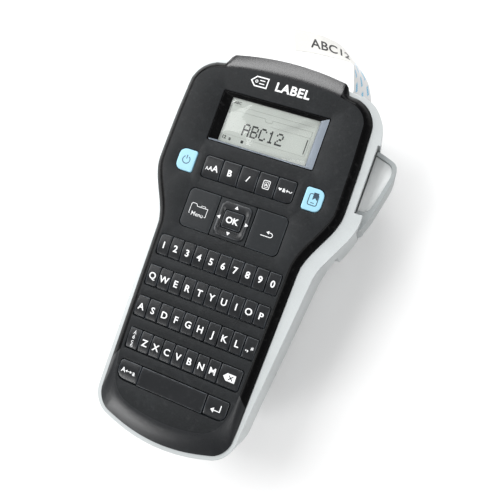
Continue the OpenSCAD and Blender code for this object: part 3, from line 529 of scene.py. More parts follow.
# The wall that stands inside the rear cover, the seam under the slope, the slope, and the round at its top.
rows = [lifted(plan + plan_in * d, z) for d, z in (
    (WALL_IN, WALL_TOP_Z), (WALL_IN, WALL_FOOT_Z), (WALL_OUT, WALL_FOOT_Z), (WALL_OUT, SPLIT_Z + SEAM))]
rows += [lifted(tip + plan_in * SEAM, SPLIT_Z + SEAM), lifted(tip, SPLIT_Z + 2 * SEAM), lifted(tip, tip_z)]
steps = np.r_[0.05, np.linspace(0.12, 0.94, 9)]
rows += [lifted(tip * (1 - t) + brow * t, tip_z + (FACE_Z - tip_z) * (1 - (1 - t) ** power)) for t in steps]
brow_in = inward(brow)
rows += [lifted(brow, FACE_Z - BROW_DROP), lifted(brow + brow_in * BROW_ROUND, FACE_Z)]
n_plan = len(plan)
rim = (np.vstack(rows), quads(len(rows), n_plan))
lips = [grown(span, 0, radii) for span, radii in slots]
outer = [grown(span, LIP, [r + LIP for r in radii]) for span, radii in slots]
under = brow + brow_in * 0.6
face = plate(brow + brow_in * BROW_ROUND, outer, FACE_Z)
underside = plate(under, lips, UNDER_Z)
inner = (np.vstack([lifted(under, UNDER_Z), rows[0]]), quads(2, n_plan))
walls = []
for a, b in zip(outer, lips):
    wall = [lifted(a, FACE_Z), lifted(a * 0.3 + b * 0.7, FACE_Z - 0.07), lifted(b, FACE_Z - LIP),
            lifted(b, UNDER_Z)]
    walls.append((np.vstack(wall), quads(4, len(a))))
points, faces = joined([rim, face, underside, inner] + walls)
# edge lightens the slope's outer lip and the slot lips through the finishes: rubbed wear and a painted
# highlight.
edge = np.zeros(len(points))
edge[SLOPE_ROW * n_plan:(SLOPE_ROW + 2) * n_plan] = 0.7
edge[-sum(len(w[0]) for w in walls):] = 0.5
rim_faces = len(rim[1])
which = np.zeros(len(faces), int)
row_of = np.arange(rim_faces) // n_plan
FACE, SIDE, BROW, CHIN = range(4)
# The side slopes take the painted-shade black, darker than the face, as they turn away from the light.
slope_finish = np.tile(np.where(crown > 0.5, BROW, np.where(chin > 0.12, CHIN, SIDE)), len(rows) - 1)
which[:rim_faces] = np.where((row_of >= SEAM_ROW) & (row_of < len(rows) - 2), slope_finish, FACE)
front = piece("front_cover_moulding", points, faces, [black, painted_shade_black, brow_black, chin_black], "housing",
              ["front_cover"], "black_cover", which, edge)
print("front cover", len(front.data.polygons), "faces")

# %% [markdown]
# The rear cover, the doors and the lever keep the solid model's shape. Their faces are merged into whole
# flat panels and the sharp edges between panels are rounded with a bevel, as the mould would leave them.
# The floor of the lever's dish, which faces up, is painted paler than its rim: a painted highlight.
# %% Rounded copies
DISH_DEPTH = 2.4
SHARP = 32


def softened(node, name, finish, width):
    """The node's own mesh with edges sharper than SHARP degrees rounded by the width (in mm)."""
    mesh = nodes[node].data.copy()
    mesh.name = name
    work = bmesh.new()
    work.from_mesh(mesh)
    bmesh.ops.remove_doubles(work, verts=work.verts, dist=0.002 * MM)
    bmesh.ops.dissolve_limit(work, angle_limit=math.radians(0.8), verts=work.verts, edges=work.edges)
    work.to_mesh(mesh)
    work.free()
    mesh.materials.clear()
    mesh.materials.append(finish.material)
    obj = placed(name, mesh)
    bevel = obj.modifiers.new("bevel", "BEVEL")
    bevel.width, bevel.segments, bevel.limit_method = width * MM, 2, "ANGLE"
    bevel.angle_limit = math.radians(SHARP)
    mesh.shade_smooth()
    mesh.set_sharp_from_angle(angle=math.radians(SHARP + 2))
    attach(obj, node_body[node])
    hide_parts(node)
    return obj


rear = softened("rear_cover", "rear_cover_moulding", silver, 0.5)
lever = softened("cutter_lever", "lever_moulding", lever_silver, 0.6)
lever.data.materials.append(lever_painted_lit.material)
dish_z = max(v.co.z for v in lever.data.vertices) - DISH_DEPTH * MM
# Faces that look up at the dish's floor get the paler painted-light finish.
for p in lever.data.polygons:
    p.material_index = int(p.normal.z > 0.9 and abs(p.center.z - dish_z) < 0.3 * MM)
softened("cassette_door", "cassette_hatch", silver, 0.4)
softened("battery_door", "battery_lid", silver, 0.3)
print("rear cover", len(rear.data.polygons))

# %% [markdown]
# A key cap is a stack of shrinking rounded rectangles. Along Y its top is arched, so its upper part
# catches the light and its lower part falls into shade, which is how these small keys read.
# %% Key caps
TOP_Z, CAP_FOOT = 51.6, 47.5


def arch(y, y0, y1, rise, lean=0.35):
    """Height lost by the top: a parabola round a line that lies above the middle of the key, by lean
    times half the key's length."""
    t = (y - (y0 + y1) / 2) / ((y1 - y0) / 2)
    return -rise * (t - lean) ** 2


def cap(span, radii, rise, top, lean=0.35):
    """Rows: the foot, the wall, the rounded rim, then the arched top closed in to the middle. Each row has
    how far in it lies, its height, whether it follows the arch, and how much its edge is lightened: rubbed
    wear and a painted highlight."""
    x0, x1, y0, y1 = span
    half = min(x1 - x0, y1 - y0) / 2
    spec = [(0, CAP_FOOT, 0, 0), (0, top - 1.6, 0, 0), (0, top - 0.42, 1, 0.1), (0.05, top - 0.26, 1, 0.6),
            (0.16, top - 0.11, 1, 1), (0.34, top - 0.03, 1, 0.7), (0.6, top, 1, 0)]
    spec += [(0.6 + (half - 0.75) * t, top, 1, 0) for t in (0.25, 0.5, 0.75, 1)]
    rows, edge = [], []
    for inset, z, arched, rub_and_painted_light in spec:
        loop = grown(span, -inset, [max(r - inset, 0.1) for r in radii], 5, 9)
        rows.append(lifted(loop, z + arched * arch(loop[:, 1], y0, y1, rise, lean)))
        edge += [rub_and_painted_light] * len(loop)
    return *stack(rows), np.array(edge)


# %% [markdown]
# Every key gets its cap. The three letter rows are one node each, so their caps are made side by side. The
# menu and back keys lie almost level with the face, and the blue keys and the space key are almost flat.
# %% Caps on the keys
ROW_GAP = 0.35


def corner_radii(name):
    """Corner radii: large where a key ends its row, small between neighbours."""
    special = {"key_power": [3.4, 1.2, 1.2, 3.4], "key_print": [1.2, 3.4, 3.4, 1.2],
               "key_size": [1.4, 0.35, 0.35, 1.4], "key_insert": [0.35, 2.4, 1.0, 0.35],
               "key_menu": [2.8, 0.3, 0.3, 2.8], "key_back": [0.3, 2.8, 2.8, 0.3],
               "key_1": [1.4, 0.4, 0.4, 1.4], "key_0": [0.4, 1.0, 1.0, 0.4],
               "key_delete": [0.4, 1.4, 1.0, 0.4], "key_caps": [4.4, 0.4, 0.4, 1.4],
               "key_return": [0.4, 3.8, 1.0, 0.4]}
    return special.get(name, [0.4] * 4)


def row_spans(name):
    """The caps of a row that is one node: its width shared out evenly, with a gap between."""
    x0, x1, y0, y1 = key_span(name)
    count = {"keys_row_q": 10, "keys_row_a": 10, "keys_row_z": 7}[name]
    pitch = (x1 - x0 + ROW_GAP) / count
    return [(x0 + i * pitch, x0 + (i + 1) * pitch - ROW_GAP, y0, y1) for i in range(count)]


caps_made = 0
surface = {}
for name in [n for n in nodes if n.startswith("key")]:
    if name == "keypad_mat" or name == "key_ok":
        continue
    spans = row_spans(name) if name.startswith("keys_row") else [tuple(key_span(name))]
    blue = name in ("key_power", "key_print")
    panel = name in ("key_menu", "key_back")
    rise = 0.02 if panel else 0.12 if blue or name == "key_space" else 0.75
    top = FACE_Z + 0.12 if panel else TOP_Z
    surface[name] = (spans, rise, top)
    made = [cap(span, corner_radii(name), rise, top) for span in spans]
    points, faces = joined([m[:2] for m in made])
    finish = key_blue if blue else panel_dark if panel else key_dark
    piece(name.replace("key", "cap", 1), points, faces, [finish], name, [name],
          "blue_key" if blue else "dark_key", edge=np.concatenate([m[2] for m in made]))
    caps_made += len(spans)
print("caps", caps_made)

# %% [markdown]
# The navigation ring and the OK key are raised pads with broad sloping shoulders, so they read as glossy
# frames round the middle of the panel. Both are stacks of rounded rectangles again; the ring's rows go up
# the outside, over the top and down the hole. Each has how far in it lies, its corner radius, its height
# and how much it is lightened, as rubbed wear and as a painted highlight on the shoulders, and the lowest
# rows are the ring's dull plinth.
# %% Ring and OK key
RING_GAP = 0.35
OK_Z, OK_RISE = 52.15, 0.25
ring_span = tuple(key_span("nav_ring"))
low, high = box_mm("key_ok")
ok = (low[0], high[0], low[1], high[1])
hole = (ok[0] - RING_GAP, ok[1] + RING_GAP, ok[2] - RING_GAP, ok[3] + RING_GAP)
ring_spec = [(ring_span, *row) for row in (
    (0, 0.3, CAP_FOOT, 0), (0, 0.3, 50.6, 0), (0.08, 0.4, 50.9, 0), (1.2, 2.6, 50.98, 0),
    (1.3, 2.7, 51.3, 0.1), (1.45, 2.7, 51.62, 0.8), (1.75, 2.6, 51.88, 0.9), (2.2, 2.4, 51.98, 0.3),
    (3.4, 1.8, 51.82, 0))]
ring_spec += [(hole, *row) for row in (
    (-0.5, 1.5, 51.6, 0), (-0.12, 1.2, 51.45, 0.4), (0, 1.1, 51.2, 0.2), (0, 1.1, CAP_FOOT, 0))]
ring_spec.append(ring_spec[0])
ring_rows = [lifted(grown(span, -inset, r, 6, 9), z) for span, inset, r, z, _ in ring_spec]
k = len(ring_rows[0])
PLINTH_ROWS = 4
which = np.repeat([1] * PLINTH_ROWS + [0] * (len(ring_rows) - 1 - PLINTH_ROWS), k)
piece("cap_ring", np.vstack(ring_rows), quads(len(ring_rows), k), [ring_dark, panel_dark],
      "nav_ring", ["nav_ring"], "dark_key", which, np.repeat([row[4] for row in ring_spec], k))
points, faces, rub_and_painted_light = cap(ok, [1.1] * 4, OK_RISE, OK_Z, 0.3)
piece("cap_ok", points, faces, [key_dark], "key_ok", ["key_ok"], "dark_key", edge=rub_and_painted_light)
surface["key_ok"] = ([ok], OK_RISE, OK_Z)
print("ring and OK key")

# %% [markdown]
# Legends are printed a hair above the keys. Letters come from a text curve, filled and made a mesh; icons
# are strokes of even width along a line of points. Each point is then lifted onto the arched key top.
# %% Lettering
CAPITAL = 0.729
PRINT = 0.03


def letters(words, height, bold=0.0, spacing=1.0):
    """Text as points and faces in mm, its middle on the origin: a filled text curve, scaled by the wanted
    height over the height of the font's capitals, 2 units thick."""
    curve = bpy.data.curves.new("words", "FONT")
    curve.body, curve.offset, curve.resolution_u = words, bold, 3
    curve.space_character, curve.extrude = spacing, 0.02
    obj = placed("words", curve)
    mesh = bpy.data.meshes.new_from_object(obj.evaluated_get(bpy.context.evaluated_depsgraph_get()))
    points = np.array([v.co[:] for v in mesh.vertices])
    faces = [list(p.vertices) for p in mesh.polygons]
    bpy.data.objects.remove(obj)
    bpy.data.curves.remove(curve)
    bpy.data.meshes.remove(mesh)
    points[:, :2] *= height / CAPITAL
    points[:, 0] -= (points[:, 0].max() + points[:, 0].min()) / 2
    points[:, 1] -= height / 2
    points[:, 2] = np.sign(points[:, 2])
    return points, faces


def stroke(line, width, closed=False):
    """A ribbon of even width along a flat line, 2 units thick: each side is the line moved along the
    mean normal of its two neighbours, longer at a corner so that the width stays even."""
    p = np.asarray(line, float)
    nxt, prv = np.roll(p, -1, 0), np.roll(p, 1, 0)
    a, b = p - prv, nxt - p
    if not closed:
        a[0], b[-1] = b[0], a[-1]
    a /= np.linalg.norm(a, axis=1)[:, None]
    b /= np.linalg.norm(b, axis=1)[:, None]
    n = np.c_[-(a + b)[:, 1], (a + b)[:, 0]]
    n /= np.maximum(np.linalg.norm(n, axis=1), 0.3)[:, None]
    n /= np.maximum((n * np.c_[-b[:, 1], b[:, 0]]).sum(1), 0.5)[:, None]
    left, right = p + n * width / 2, p - n * width / 2
    rows = np.stack([lifted(left, 1), lifted(left, -1), lifted(right, -1), lifted(right, 1)], 1)
    m = len(p)
    faces = (quads(m + closed, 4) % (4 * m)).tolist()
    if not closed:
        faces += [[0, 3, 2, 1], [4 * m - 4, 4 * m - 3, 4 * m - 2, 4 * m - 1]]
    return rows.reshape(-1, 3), faces


def solid(outline):
    """A flat filled outline, 2 units thick."""
    return stack([lifted(outline, -1), lifted(outline, 1)])


def circle(r, start=0, end=360, count=24, middle=(0, 0)):
    """Points round a circle, or along an arc from start to end in degrees."""
    a = np.radians(np.linspace(start, end, count, endpoint=abs(end - start) < 360))
    return np.c_[middle[0] + r * np.cos(a), middle[1] + r * np.sin(a)]


def moved(shape, x, y):
    return shape[0] + [x, y, 0], shape[1]


def sliced(points, faces, axis, step):
    """The same shape cut by planes at even steps along one axis, so that it can follow a curve."""
    mesh = bpy.data.meshes.new("flat")
    mesh.from_pydata(points.tolist(), [], faces)
    work = bmesh.new()
    work.from_mesh(mesh)
    normal = (1, 0, 0) if axis == 0 else (0, 1, 0)
    for level in np.arange(points[:, axis].min() + step, points[:, axis].max(), step):
        bmesh.ops.bisect_plane(work, geom=work.verts[:] + work.edges[:] + work.faces[:], dist=1e-5,
                               plane_co=tuple(level * v for v in normal), plane_no=normal)
    work.to_mesh(mesh)
    work.free()
    points = np.array([v.co[:] for v in mesh.vertices])
    faces = [list(p.vertices) for p in mesh.polygons]
    bpy.data.meshes.remove(mesh)
    return points, faces


def legend(name, body, shapes, finish=ink_white, height=None):
    """Puts flat shapes at a height, or on a key's top: z is the arched top's height there, plus or minus
    the ink's thickness."""
    points, faces = joined(shapes)
    if height is None:
        points, faces = sliced(points, faces, 1, 0.5)
        spans, rise, top = surface[body]
        spans = np.array(spans)
        span = spans[np.argmin(np.abs(points[:, :1] - spans[:, :2].mean(1)[None]), 1)]
        height = top + arch(points[:, 1], span[:, 2], span[:, 3], rise)
    points = np.c_[points[:, :2], height + PRINT * points[:, 2]]
    return piece(name, points, faces, [finish], node_body.get(body, body), weld=1e-5, angle=20)


def at(name, shapes, dx=0.0, dy=0.0, key=0):
    """The shapes moved to the middle of a key, or of the key with this number in a row."""
    x0, x1, y0, y1 = surface[name][0][key]
    return [moved(s, (x0 + x1) / 2 + dx, (y0 + y1) / 2 + dy) for s in shapes]


for name in DIGITS:
    legend("print_" + name, name, at(name, [letters(name[-1], 3.5, 0.025)]))
for name, row in (("keys_row_q", "QWERTYUIOP"), ("keys_row_a", "ASDFGHJKL"), ("keys_row_z", "ZXCVBNM")):
    shapes = [at(name, [letters(c, 3.5, 0.022)], key=i)[0] for i, c in enumerate(row)]
    if name == "keys_row_a":
        shapes += at(name, [moved(letters(".,", 3.0, 0.03), -1.1, 0),
                            moved(letters("#", 1.7, 0.02), 1.2, 0.5)], key=-1)
    legend("print_" + name, name, shapes)
print("letters printed")

# %% [markdown]
# The icons say what the other keys do, in plain signs: sizes of A, bold, italic, a frame, signs to insert,
# a folder for the menu, arrows, a power sign and a page to print.
# %% Icons
LINE = 0.38
RING_TOP_Z = 51.95


def icon(key, shapes, dx=0.0, dy=0.0, finish=ink_white):
    """Prints the shapes on the key of this name, in its middle or moved from there."""
    legend("print_" + key, "key_" + key, at("key_" + key, shapes, dx, dy), finish)


icon("size", [
    moved(letters("A", 1.7, 0.02), -2.6, -0.8), moved(letters("A", 2.3, 0.02), -0.7, -0.5),
    moved(letters("A", 3.4, 0.02), 1.9, 0)])
icon("bold", [letters("B", 3.2, 0.035)])
icon("italic", [stroke([(-0.7, -1.5), (0.7, 1.5)], 0.55)])
icon("frame", [
    stroke(rounded(-1.7, 1.7, -2.1, 2.1, 0.6, 4, 1), LINE, True),
    stroke(rounded(-0.9, 0.9, -1.3, 1.3, 0.3, 4, 1), 0.25, True), moved(letters("A", 1.5, 0.03), 0, 0)])
heart = np.array([[0, -0.8], [-0.9, 0.1], [-0.7, 0.7], [0, 0.4], [0.7, 0.7], [0.9, 0.1]])
icon("insert", [
    moved(solid(heart), -2.6, 0.1), moved(letters("&", 1.9, 0.03), -0.5, 0.1),
    moved(letters("+", 1.9, 0.03), 1.1, 0.1), stroke(circle(0.75, 180, 360, 12, (2.8, 0.4)), LINE)])
folder = [(-4.6, -1.7), (-4.6, 2.6), (-4.0, 3.2), (-2.0, 3.2), (-1.2, 2.0), (0.4, 2.0), (4.6, 2.0),
          (4.6, -2.3), (3.9, -2.3)]
icon("menu", [
    stroke(folder, 0.3), stroke([(0.4, 2.0), (1.0, 2.9), (3.0, 2.9), (3.6, 2.0)], 0.22),
    stroke([(-4.6, -1.6), (-4.6, -2.3), (-4.2, -2.3)], 0.3),
    moved(letters("Menu", 2.2, 0.004), 0, -1.9)], -0.6, -0.6)
bend = np.vstack([[(-3.2, -1.3)], circle(1.1, -90, 90, 10, (1.7, -0.2)), [(0.6, 0.9)]])
icon("back", [stroke(bend, LINE), solid([(-0.7, 0.9), (0.7, 1.8), (0.7, 0.0)])], 0.4, -0.6)
icon("ok", [letters("OK", 3.2, 0.035)])
arrow = np.array([[0, 1.0], [-1.0, -0.75], [1.0, -0.75]])
quarter = np.array([[0, 1], [-1, 0]])
arrows = [moved(solid(arrow @ np.linalg.matrix_power(quarter, turns)), dx, dy)
          for turns, (dx, dy) in enumerate([(0, 6.8), (-7.6, 0), (0, -6.8), (7.6, 0)])]
legend("print_arrows", "nav_ring", at("key_ok", arrows), height=RING_TOP_Z)
BLUE_LINE = 0.42
icon("power", [stroke(circle(2.0, 122, 418, 22), BLUE_LINE), stroke([(0, 0.5), (0, 2.6)], BLUE_LINE)],
     finish=ink_blue_dark)
legend("print_page", "key_print", at("key_print", [
    stroke(rounded(-2.3, 2.3, -2.9, 2.7, 0.9, 5, 1), BLUE_LINE, True),
    solid([(-0.5, 3.6), (-0.5, -0.2), (0.75, 0.9), (2.0, -0.2), (2.0, 3.6)]),
    stroke([(-0.9, -1.7), (0.9, -1.7)], 0.35)]), ink_blue_dark)
icon("accent", [
    moved(letters("Á", 1.7, 0.01), 0, 3.2), moved(letters("ê", 2.2, 0.01), 0, 1.0),
    moved(letters("ç", 2.2, 0.01), 0, -1.2), moved(letters("ñ", 2.2, 0.01), 0, -3.4)])
icon("delete", [solid([(-3.4, 0), (-1.6, 1.9), (3.0, 1.9), (3.0, -1.9), (-1.6, -1.9)])])
cross = at("key_delete", [stroke([(-0.5, 1.1), (1.7, -1.1)], 0.5), stroke([(-0.5, -1.1), (1.7, 1.1)], 0.5)])
crossed = legend("print_delete_cross", "key_delete", cross, key_dark)
crossed.data.transform(Matrix.Translation((0, 0, 0.02 * MM)))
icon("caps", [
    moved(letters("A", 2.5, 0.02), -2.9, 0.2), moved(letters("a", 2.5, 0.02), 3.0, 0.2),
    stroke([(-1.1, 0), (1.4, 0)], 0.35), solid([(-1.8, 0), (-0.7, 0.7), (-0.7, -0.7)]),
    solid([(2.0, 0), (0.9, -0.7), (0.9, 0.7)])])
icon("return", [
    stroke([(2.3, 2.4), (2.3, -0.9), (-1.2, -0.9)], 0.5), solid([(-2.6, -0.9), (-0.8, 0.5), (-0.8, -2.3)])])
print("icons printed")

# %% [markdown]
# The display lies at the bottom of a sloping frame. Its light and shade are painted: the right and bottom
# slopes, which face the light, get a lighter finish as a painted highlight, and the other slopes the
# near-black painted-shade finish. The pale display panel has a faint emission, a painted glow. Over it lies
# a clear window, which only adds a little reflection.
# %% Display frame and window
painted_lit_slope = moulded("bezel_painted_highlight", (0.2, 0.23, 0.27), 0.25, 0.3, 0.004, 0.08, edge_wear_and_painted_light=0.4, Metallic=0.25)
lcd = Finish("display_pale_painted_glow", Specular_IOR_Level=0.3)
cell_x = lcd.add("ShaderNodeSeparateXYZ", {0: lcd.place()})
cell_y = Flow(lcd, cell_x.socket.node.outputs[1])
COLUMNS, ROWS = 4200, 3400
weave = (cell_x * COLUMNS).math("SINE", 0) * (cell_y * ROWS).math("SINE", 0)
cloud = lcd.noise(60, 2)
# The emission is a painted glow: this display gives no light of its own.
lcd.set(Base_Color=lcd.mix(lcd.range(weave, -1, 1), lcd.mix(cloud, (0.66, 0.68, 0.66), (0.7, 0.72, 0.7)),
                           (0.74, 0.76, 0.74)), Roughness=cloud * 0.2 + 0.35,
        Emission_Color=(0.8, 0.81, 0.82), Emission_Strength=0.1)
lcd.set(Normal=lcd.bump(cloud, 0.002 * MM))
nodes["display_module"].material_slots[0].material = lcd.material
pane = Finish("window_clear")
clear = pane.add("ShaderNodeBsdfTransparent", {"Color": (0.97, 0.98, 0.97)})
smear = pane.noise(80, 3)
sheen = pane.add("ShaderNodeBsdfGlossy", {"Roughness": 0.04})
mirror = pane.add("ShaderNodeFresnel", {"IOR": 1.49}) * pane.range(smear, 0.2, 0.8, 0.8, 1.0)
mixed = pane.add("ShaderNodeMixShader", {0: mirror, 1: clear, 2: sheen})
pane.tree.links.new(mixed.socket, pane.tree.nodes["Material Output"].inputs["Surface"])

WINDOW_LAP_X, WINDOW_LAP_Y = 0.9, 0.7
low, high = box_mm("display_window")
view = (low[0] + WINDOW_LAP_X, high[0] - WINDOW_LAP_X, low[1] + WINDOW_LAP_Y, high[1] - WINDOW_LAP_Y)
WINDOW_Z, FRAME_FOOT_Z = high[2], 47.2
frame_rows = [lifted(grown(span, d, r, 5, 6), z) for span, d, r, z in (
    (well, 0.1, 0.5, FRAME_FOOT_Z), (well, -0.12, 0.7, 47.3), (well, -0.12, 0.7, 50.4),
    (well, -0.3, 0.7, 50.58), (well, -0.55, 0.6, 50.62), (well, -0.7, 0.5, 50.5),
    (view, 0.15, 0.3, WINDOW_Z + 0.12), (view, 0.0, 0.2, WINDOW_Z + 0.03),
    (view, 0.95, 0.2, WINDOW_Z + 0.02), (view, 0.95, 0.2, FRAME_FOOT_Z), (well, 0.1, 0.5, FRAME_FOOT_Z))]
points, faces = np.vstack(frame_rows), quads(len(frame_rows), len(frame_rows[0]))
mid = points[faces].mean(1)
right = (mid[:, 0] - (well[0] + well[1]) / 2) / ((well[1] - well[0]) / 2)
up = (mid[:, 1] - (well[2] + well[3]) / 2) / ((well[3] - well[2]) / 2)
# lit marks the slopes that face the light, which get the painted highlight; the rest get the painted shade.
lit = (right > np.abs(up) - 0.06) | (-up > np.abs(right) - 0.02)
sloped = (np.arange(len(faces)) // len(frame_rows[0]) >= 4) & (mid[:, 2] > WINDOW_Z)
piece("display_frame", points, faces, [painted_shade_black, painted_lit_slope], "housing", ["display_bezel"], "bezel",
      (lit & sloped).astype(int))
pane_rows = [lifted(grown(view, g, 0.3, 5, 6), z) for g, z in
             ((0.85, low[2] + 0.02), (0.85, high[2] - 0.1), (0.75, high[2]))]
piece("display_pane", *stack(pane_rows), [pane], "housing", ["display_window"], "clear_window")
print("display frame")

# %% [markdown]
# What the display shows is made of small dark dots, five across and seven up for each character. Unlit
# lines show faintly. A plain tag and a plain word stand on the face above.
# %% Display characters
DOTS = {"A": "01110 10001 10001 11111 10001 10001 10001", "B": "11110 10001 10001 11110 10001 10001 11110",
        "C": "01110 10001 10000 10000 10000 10001 01110", "1": "00100 01100 00100 00100 00100 00100 01110",
        "2": "01110 10001 00001 00110 01000 10000 11111"}
ink_lcd = moulded("display_ink", (0.012, 0.014, 0.016), 0.5, 0.3, 0.002, 0.2, edge_wear_and_painted_light=0)
ghost = moulded("display_ghost", (0.5, 0.52, 0.5), 0.5, 0.3, 0.002, 0.05, edge_wear_and_painted_light=0)
SHOW_Z = 47.14
DOT_FILL = 0.93


def bar(x, y, width, height):
    """An upright rectangle with its lower left corner at (x, y)."""
    return solid([(x, y), (x + width, y), (x + width, y + height), (x, y + height)])


def dot_text(words, x, y, pitch_x, pitch_y):
    """Lower left corner at (x, y); every lit dot is a box a little smaller than its pitch."""
    grid = np.array([[list(map(int, row)) for row in DOTS[c].split()] for c in words])
    return joined([bar(x + (c * 6 + k) * pitch_x, y + (6 - r) * pitch_y, DOT_FILL * pitch_x,
                       DOT_FILL * pitch_y) for c, r, k in zip(*np.nonzero(grid))])


vx, vy = view[0], view[3]
shown = [dot_text("ABC12", vx + 10.6, vy - 17.9, 0.76, 0.94),
         bar(vx + 44.5, vy - 18.3, 0.45, 7.7),
         moved(letters("ABC", 1.5, 0.01), vx + 3.2, vy - 2.0),
         moved(letters("12", 1.8, 0.03), vx + 2.4, vy - 21.0),
         moved(letters("a", 2.0, 0.03), vx + 5.6, vy - 21.0),
         moved(solid(rounded(-0.7, 0.7, -0.8, 0.8, 0.4, 4, 1)), vx + 12.4, vy - 21.2)]
legend("display_characters", "housing", shown, ink_lcd, SHOW_Z)
lines = [stroke([(vx + 1.6, vy - 6.2), (vx + 20.4, vy - 6.2), (vx + 20.4, vy - 7.8), (vx + 24.2, vy - 7.8),
                 (vx + 24.2, vy - 6.2), (vx + 45.8, vy - 6.2), (vx + 45.8, vy - 19.2)], 0.16),
         stroke([(vx + 2.0, vy - 3.6), (vx + 46.2, vy - 3.6)], 0.14),
         stroke([(vx + 1.6, vy - 19.4), (vx + 45.8, vy - 19.4)], 0.14),
         stroke([(vx + 24.2, vy - 9.6), (vx + 45.8, vy - 9.6)], 0.14)]
legend("display_ghost_lines", "housing", lines, ghost, SHOW_Z - 0.015)
tag = [(-9.2, 0), (-6.8, 2.5), (-0.4, 2.5), (-0.4, -2.5), (-6.8, -2.5)]
emblem = [stroke(tag, 0.65, True), stroke(circle(0.6, middle=(-6.3, 0)), 0.4, True),
          stroke([(-4.7, 0.85), (-1.9, 0.85)], 0.5), stroke([(-4.7, -0.85), (-1.9, -0.85)], 0.5),
          moved(letters("LABEL", 4.7, 0.03, 1.08), 13.6, 0)]
EMBLEM_AT = (-7.2, 34.4)
legend("face_emblem", "housing", [moved(e, *EMBLEM_AT) for e in emblem], height=FACE_Z)
print("display characters")

# %% [markdown]
# The tape comes out behind the visor and curls over. Its middle line and the way its width points are the
# solid model's; the strip between is a ring of points carried along them. One finish is the printed face,
# the other the backing with its coloured dashes, drawn from distances along and across the tape. The two
# change over at the turn, where the tape is seen almost from its edge.
# %% Tape
TAPE_W, TAPE_T, TAPE_Z = 12.0, 0.1, 14.1
HOLLOW = 0.12
FREE_END, PRINT_BACK = 35.0, 19.5
way = np.array([
    [24, -11, TAPE_Z, 0, 0, 1], [30, -8.5, TAPE_Z, 0, 0, 1], [36, -2.5, TAPE_Z, 0, 0, 1],
    [38.5, 4, TAPE_Z, 0, 0, 1], [38.5, 16, TAPE_Z, 0, 0, 1], [38.5, 30, TAPE_Z, 0, 0, 1],
    [38.5, 41, TAPE_Z, 0, 0, 1], [38.6, 45, TAPE_Z + 3.4, -0.5, 0.25, 0.85],
    [37.3, 49, 24, -0.77, -0.13, 0.63], [35.5, 54, 27.5, -0.6, -0.36, 0.7],
    [33.3, 57.9, 31.2, -0.41, -0.39, 0.82], [30.8, 60.3, 34.8, -0.12, -0.47, 0.87],
    [28.1, 62.2, 38, 0.2, -0.55, 0.81], [22.6, 63.6, 41.6, 0.36, -0.78, 0.5],
    [16.9, 63.6, 44, 0.35, -0.88, 0.3], [10.3, 63.2, 46, 0.38, -0.91, 0.16],
    [3, 62.6, 47.2, 0.4, -0.91, 0.05], [-3.1, 61.6, 48, 0.42, -0.91, 0]])
ends = np.vstack([way[:1], way, way[-1:]])
t = np.linspace(0, 1, 9, endpoint=False)[None, :, None]
run = cubic(*(ends[i:len(way) - 1 + i, None] for i in range(4)), t)
run = np.vstack([run.reshape(-1, 6), way[-1:]])
place, across = run[:, :3], run[:, 3:] / np.linalg.norm(run[:, 3:], axis=1)[:, None]
ahead = np.gradient(place, axis=0)
ahead /= np.linalg.norm(ahead, axis=1)[:, None]
out = np.cross(ahead, across)
out /= np.linalg.norm(out, axis=1)[:, None]
along = np.r_[0, np.cumsum(np.linalg.norm(np.diff(place, axis=0), axis=1))]
v = np.array([-1, -0.93, -0.6, -0.25, 0.25, 0.6, 0.93, 1])
ring = np.r_[np.c_[v, v * 0 + 1], np.c_[v[::-1], v * 0 - 1]]
curl = HOLLOW * ring[:, 0] ** 2
points, faces = stack(place[:, None] + across[:, None] * ring[None, :, :1] * (TAPE_W / 2)
                      + out[:, None] * (ring[None, :, 1:] * TAPE_T - curl[None, :, None]))
m, k = len(place), len(ring)
PAPER, LINER = 0, 1
upper = np.tile(np.arange(k) < len(v) - 1, m - 1)
turned = np.repeat(along[:-1] > along[-1] - FREE_END, k)
which = np.r_[np.where(upper == turned, PAPER, LINER), [PAPER, PAPER]]

# The negative edge factor darkens the tape's edges: a painted shade that outlines it against the floor.
paper = moulded("tape_white", (0.68, 0.675, 0.65), 0.36, 0.6, 0.003, 0.03, edge_wear_and_painted_light=-0.55, edge=0.05,
                Specular_IOR_Level=0.2)
liner = Finish("tape_backing", Roughness=0.4)
u_mm = liner.add("ShaderNodeSeparateXYZ", {0: liner.add("ShaderNodeUVMap", uv_map="tape_mm")})
v_mm = Flow(liner, u_mm.socket.node.outputs[1])
lane = (v_mm * 0.25 + 0.5).math("FRACT", 0) * 4 - 2
slant = u_mm + v_mm * 0.9
dash = ((slant * 0.125).math("FRACT", 0) < 0.6) * ((slant * 0.9).math("FRACT", 0) < 0.68)
band = (lane.math("ABSOLUTE", 0) < 0.62) * dash
fibre = liner.noise(900, 2)
liner.set(Base_Color=liner.mix(band, liner.mix(fibre, (0.74, 0.75, 0.76), (0.8, 0.8, 0.8)),
                               (0.03, 0.42, 0.7)), Normal=liner.bump(fibre, 0.004 * MM))
strip = piece("tape_strip", points, faces, [paper, liner], "housing", ["label_tape"], "tape", which,
              np.tile(np.abs(ring[:, 0]) > 0.99, m).astype(float), weld=1e-6)
uvs = strip.data.uv_layers.new(name="tape_mm")
loop_vert = np.zeros(len(strip.data.loops), np.int32)
strip.data.loops.foreach_get("vertex_index", loop_vert)
flat = np.c_[np.repeat(along, k), np.tile(ring[:, 0] * TAPE_W / 2, m)]
uvs.data.foreach_set("uv", flat[loop_vert].ravel())
points, faces = sliced(*letters("ABC12", 5.4, 0.012, 1.02), 0, 0.4)


def on_tape(block):
    """One of the tape's directions, or its middle line, at each point of the text."""
    return np.stack([np.interp(along[-1] - PRINT_BACK - points[:, 0], along, v) for v in block.T], 1)


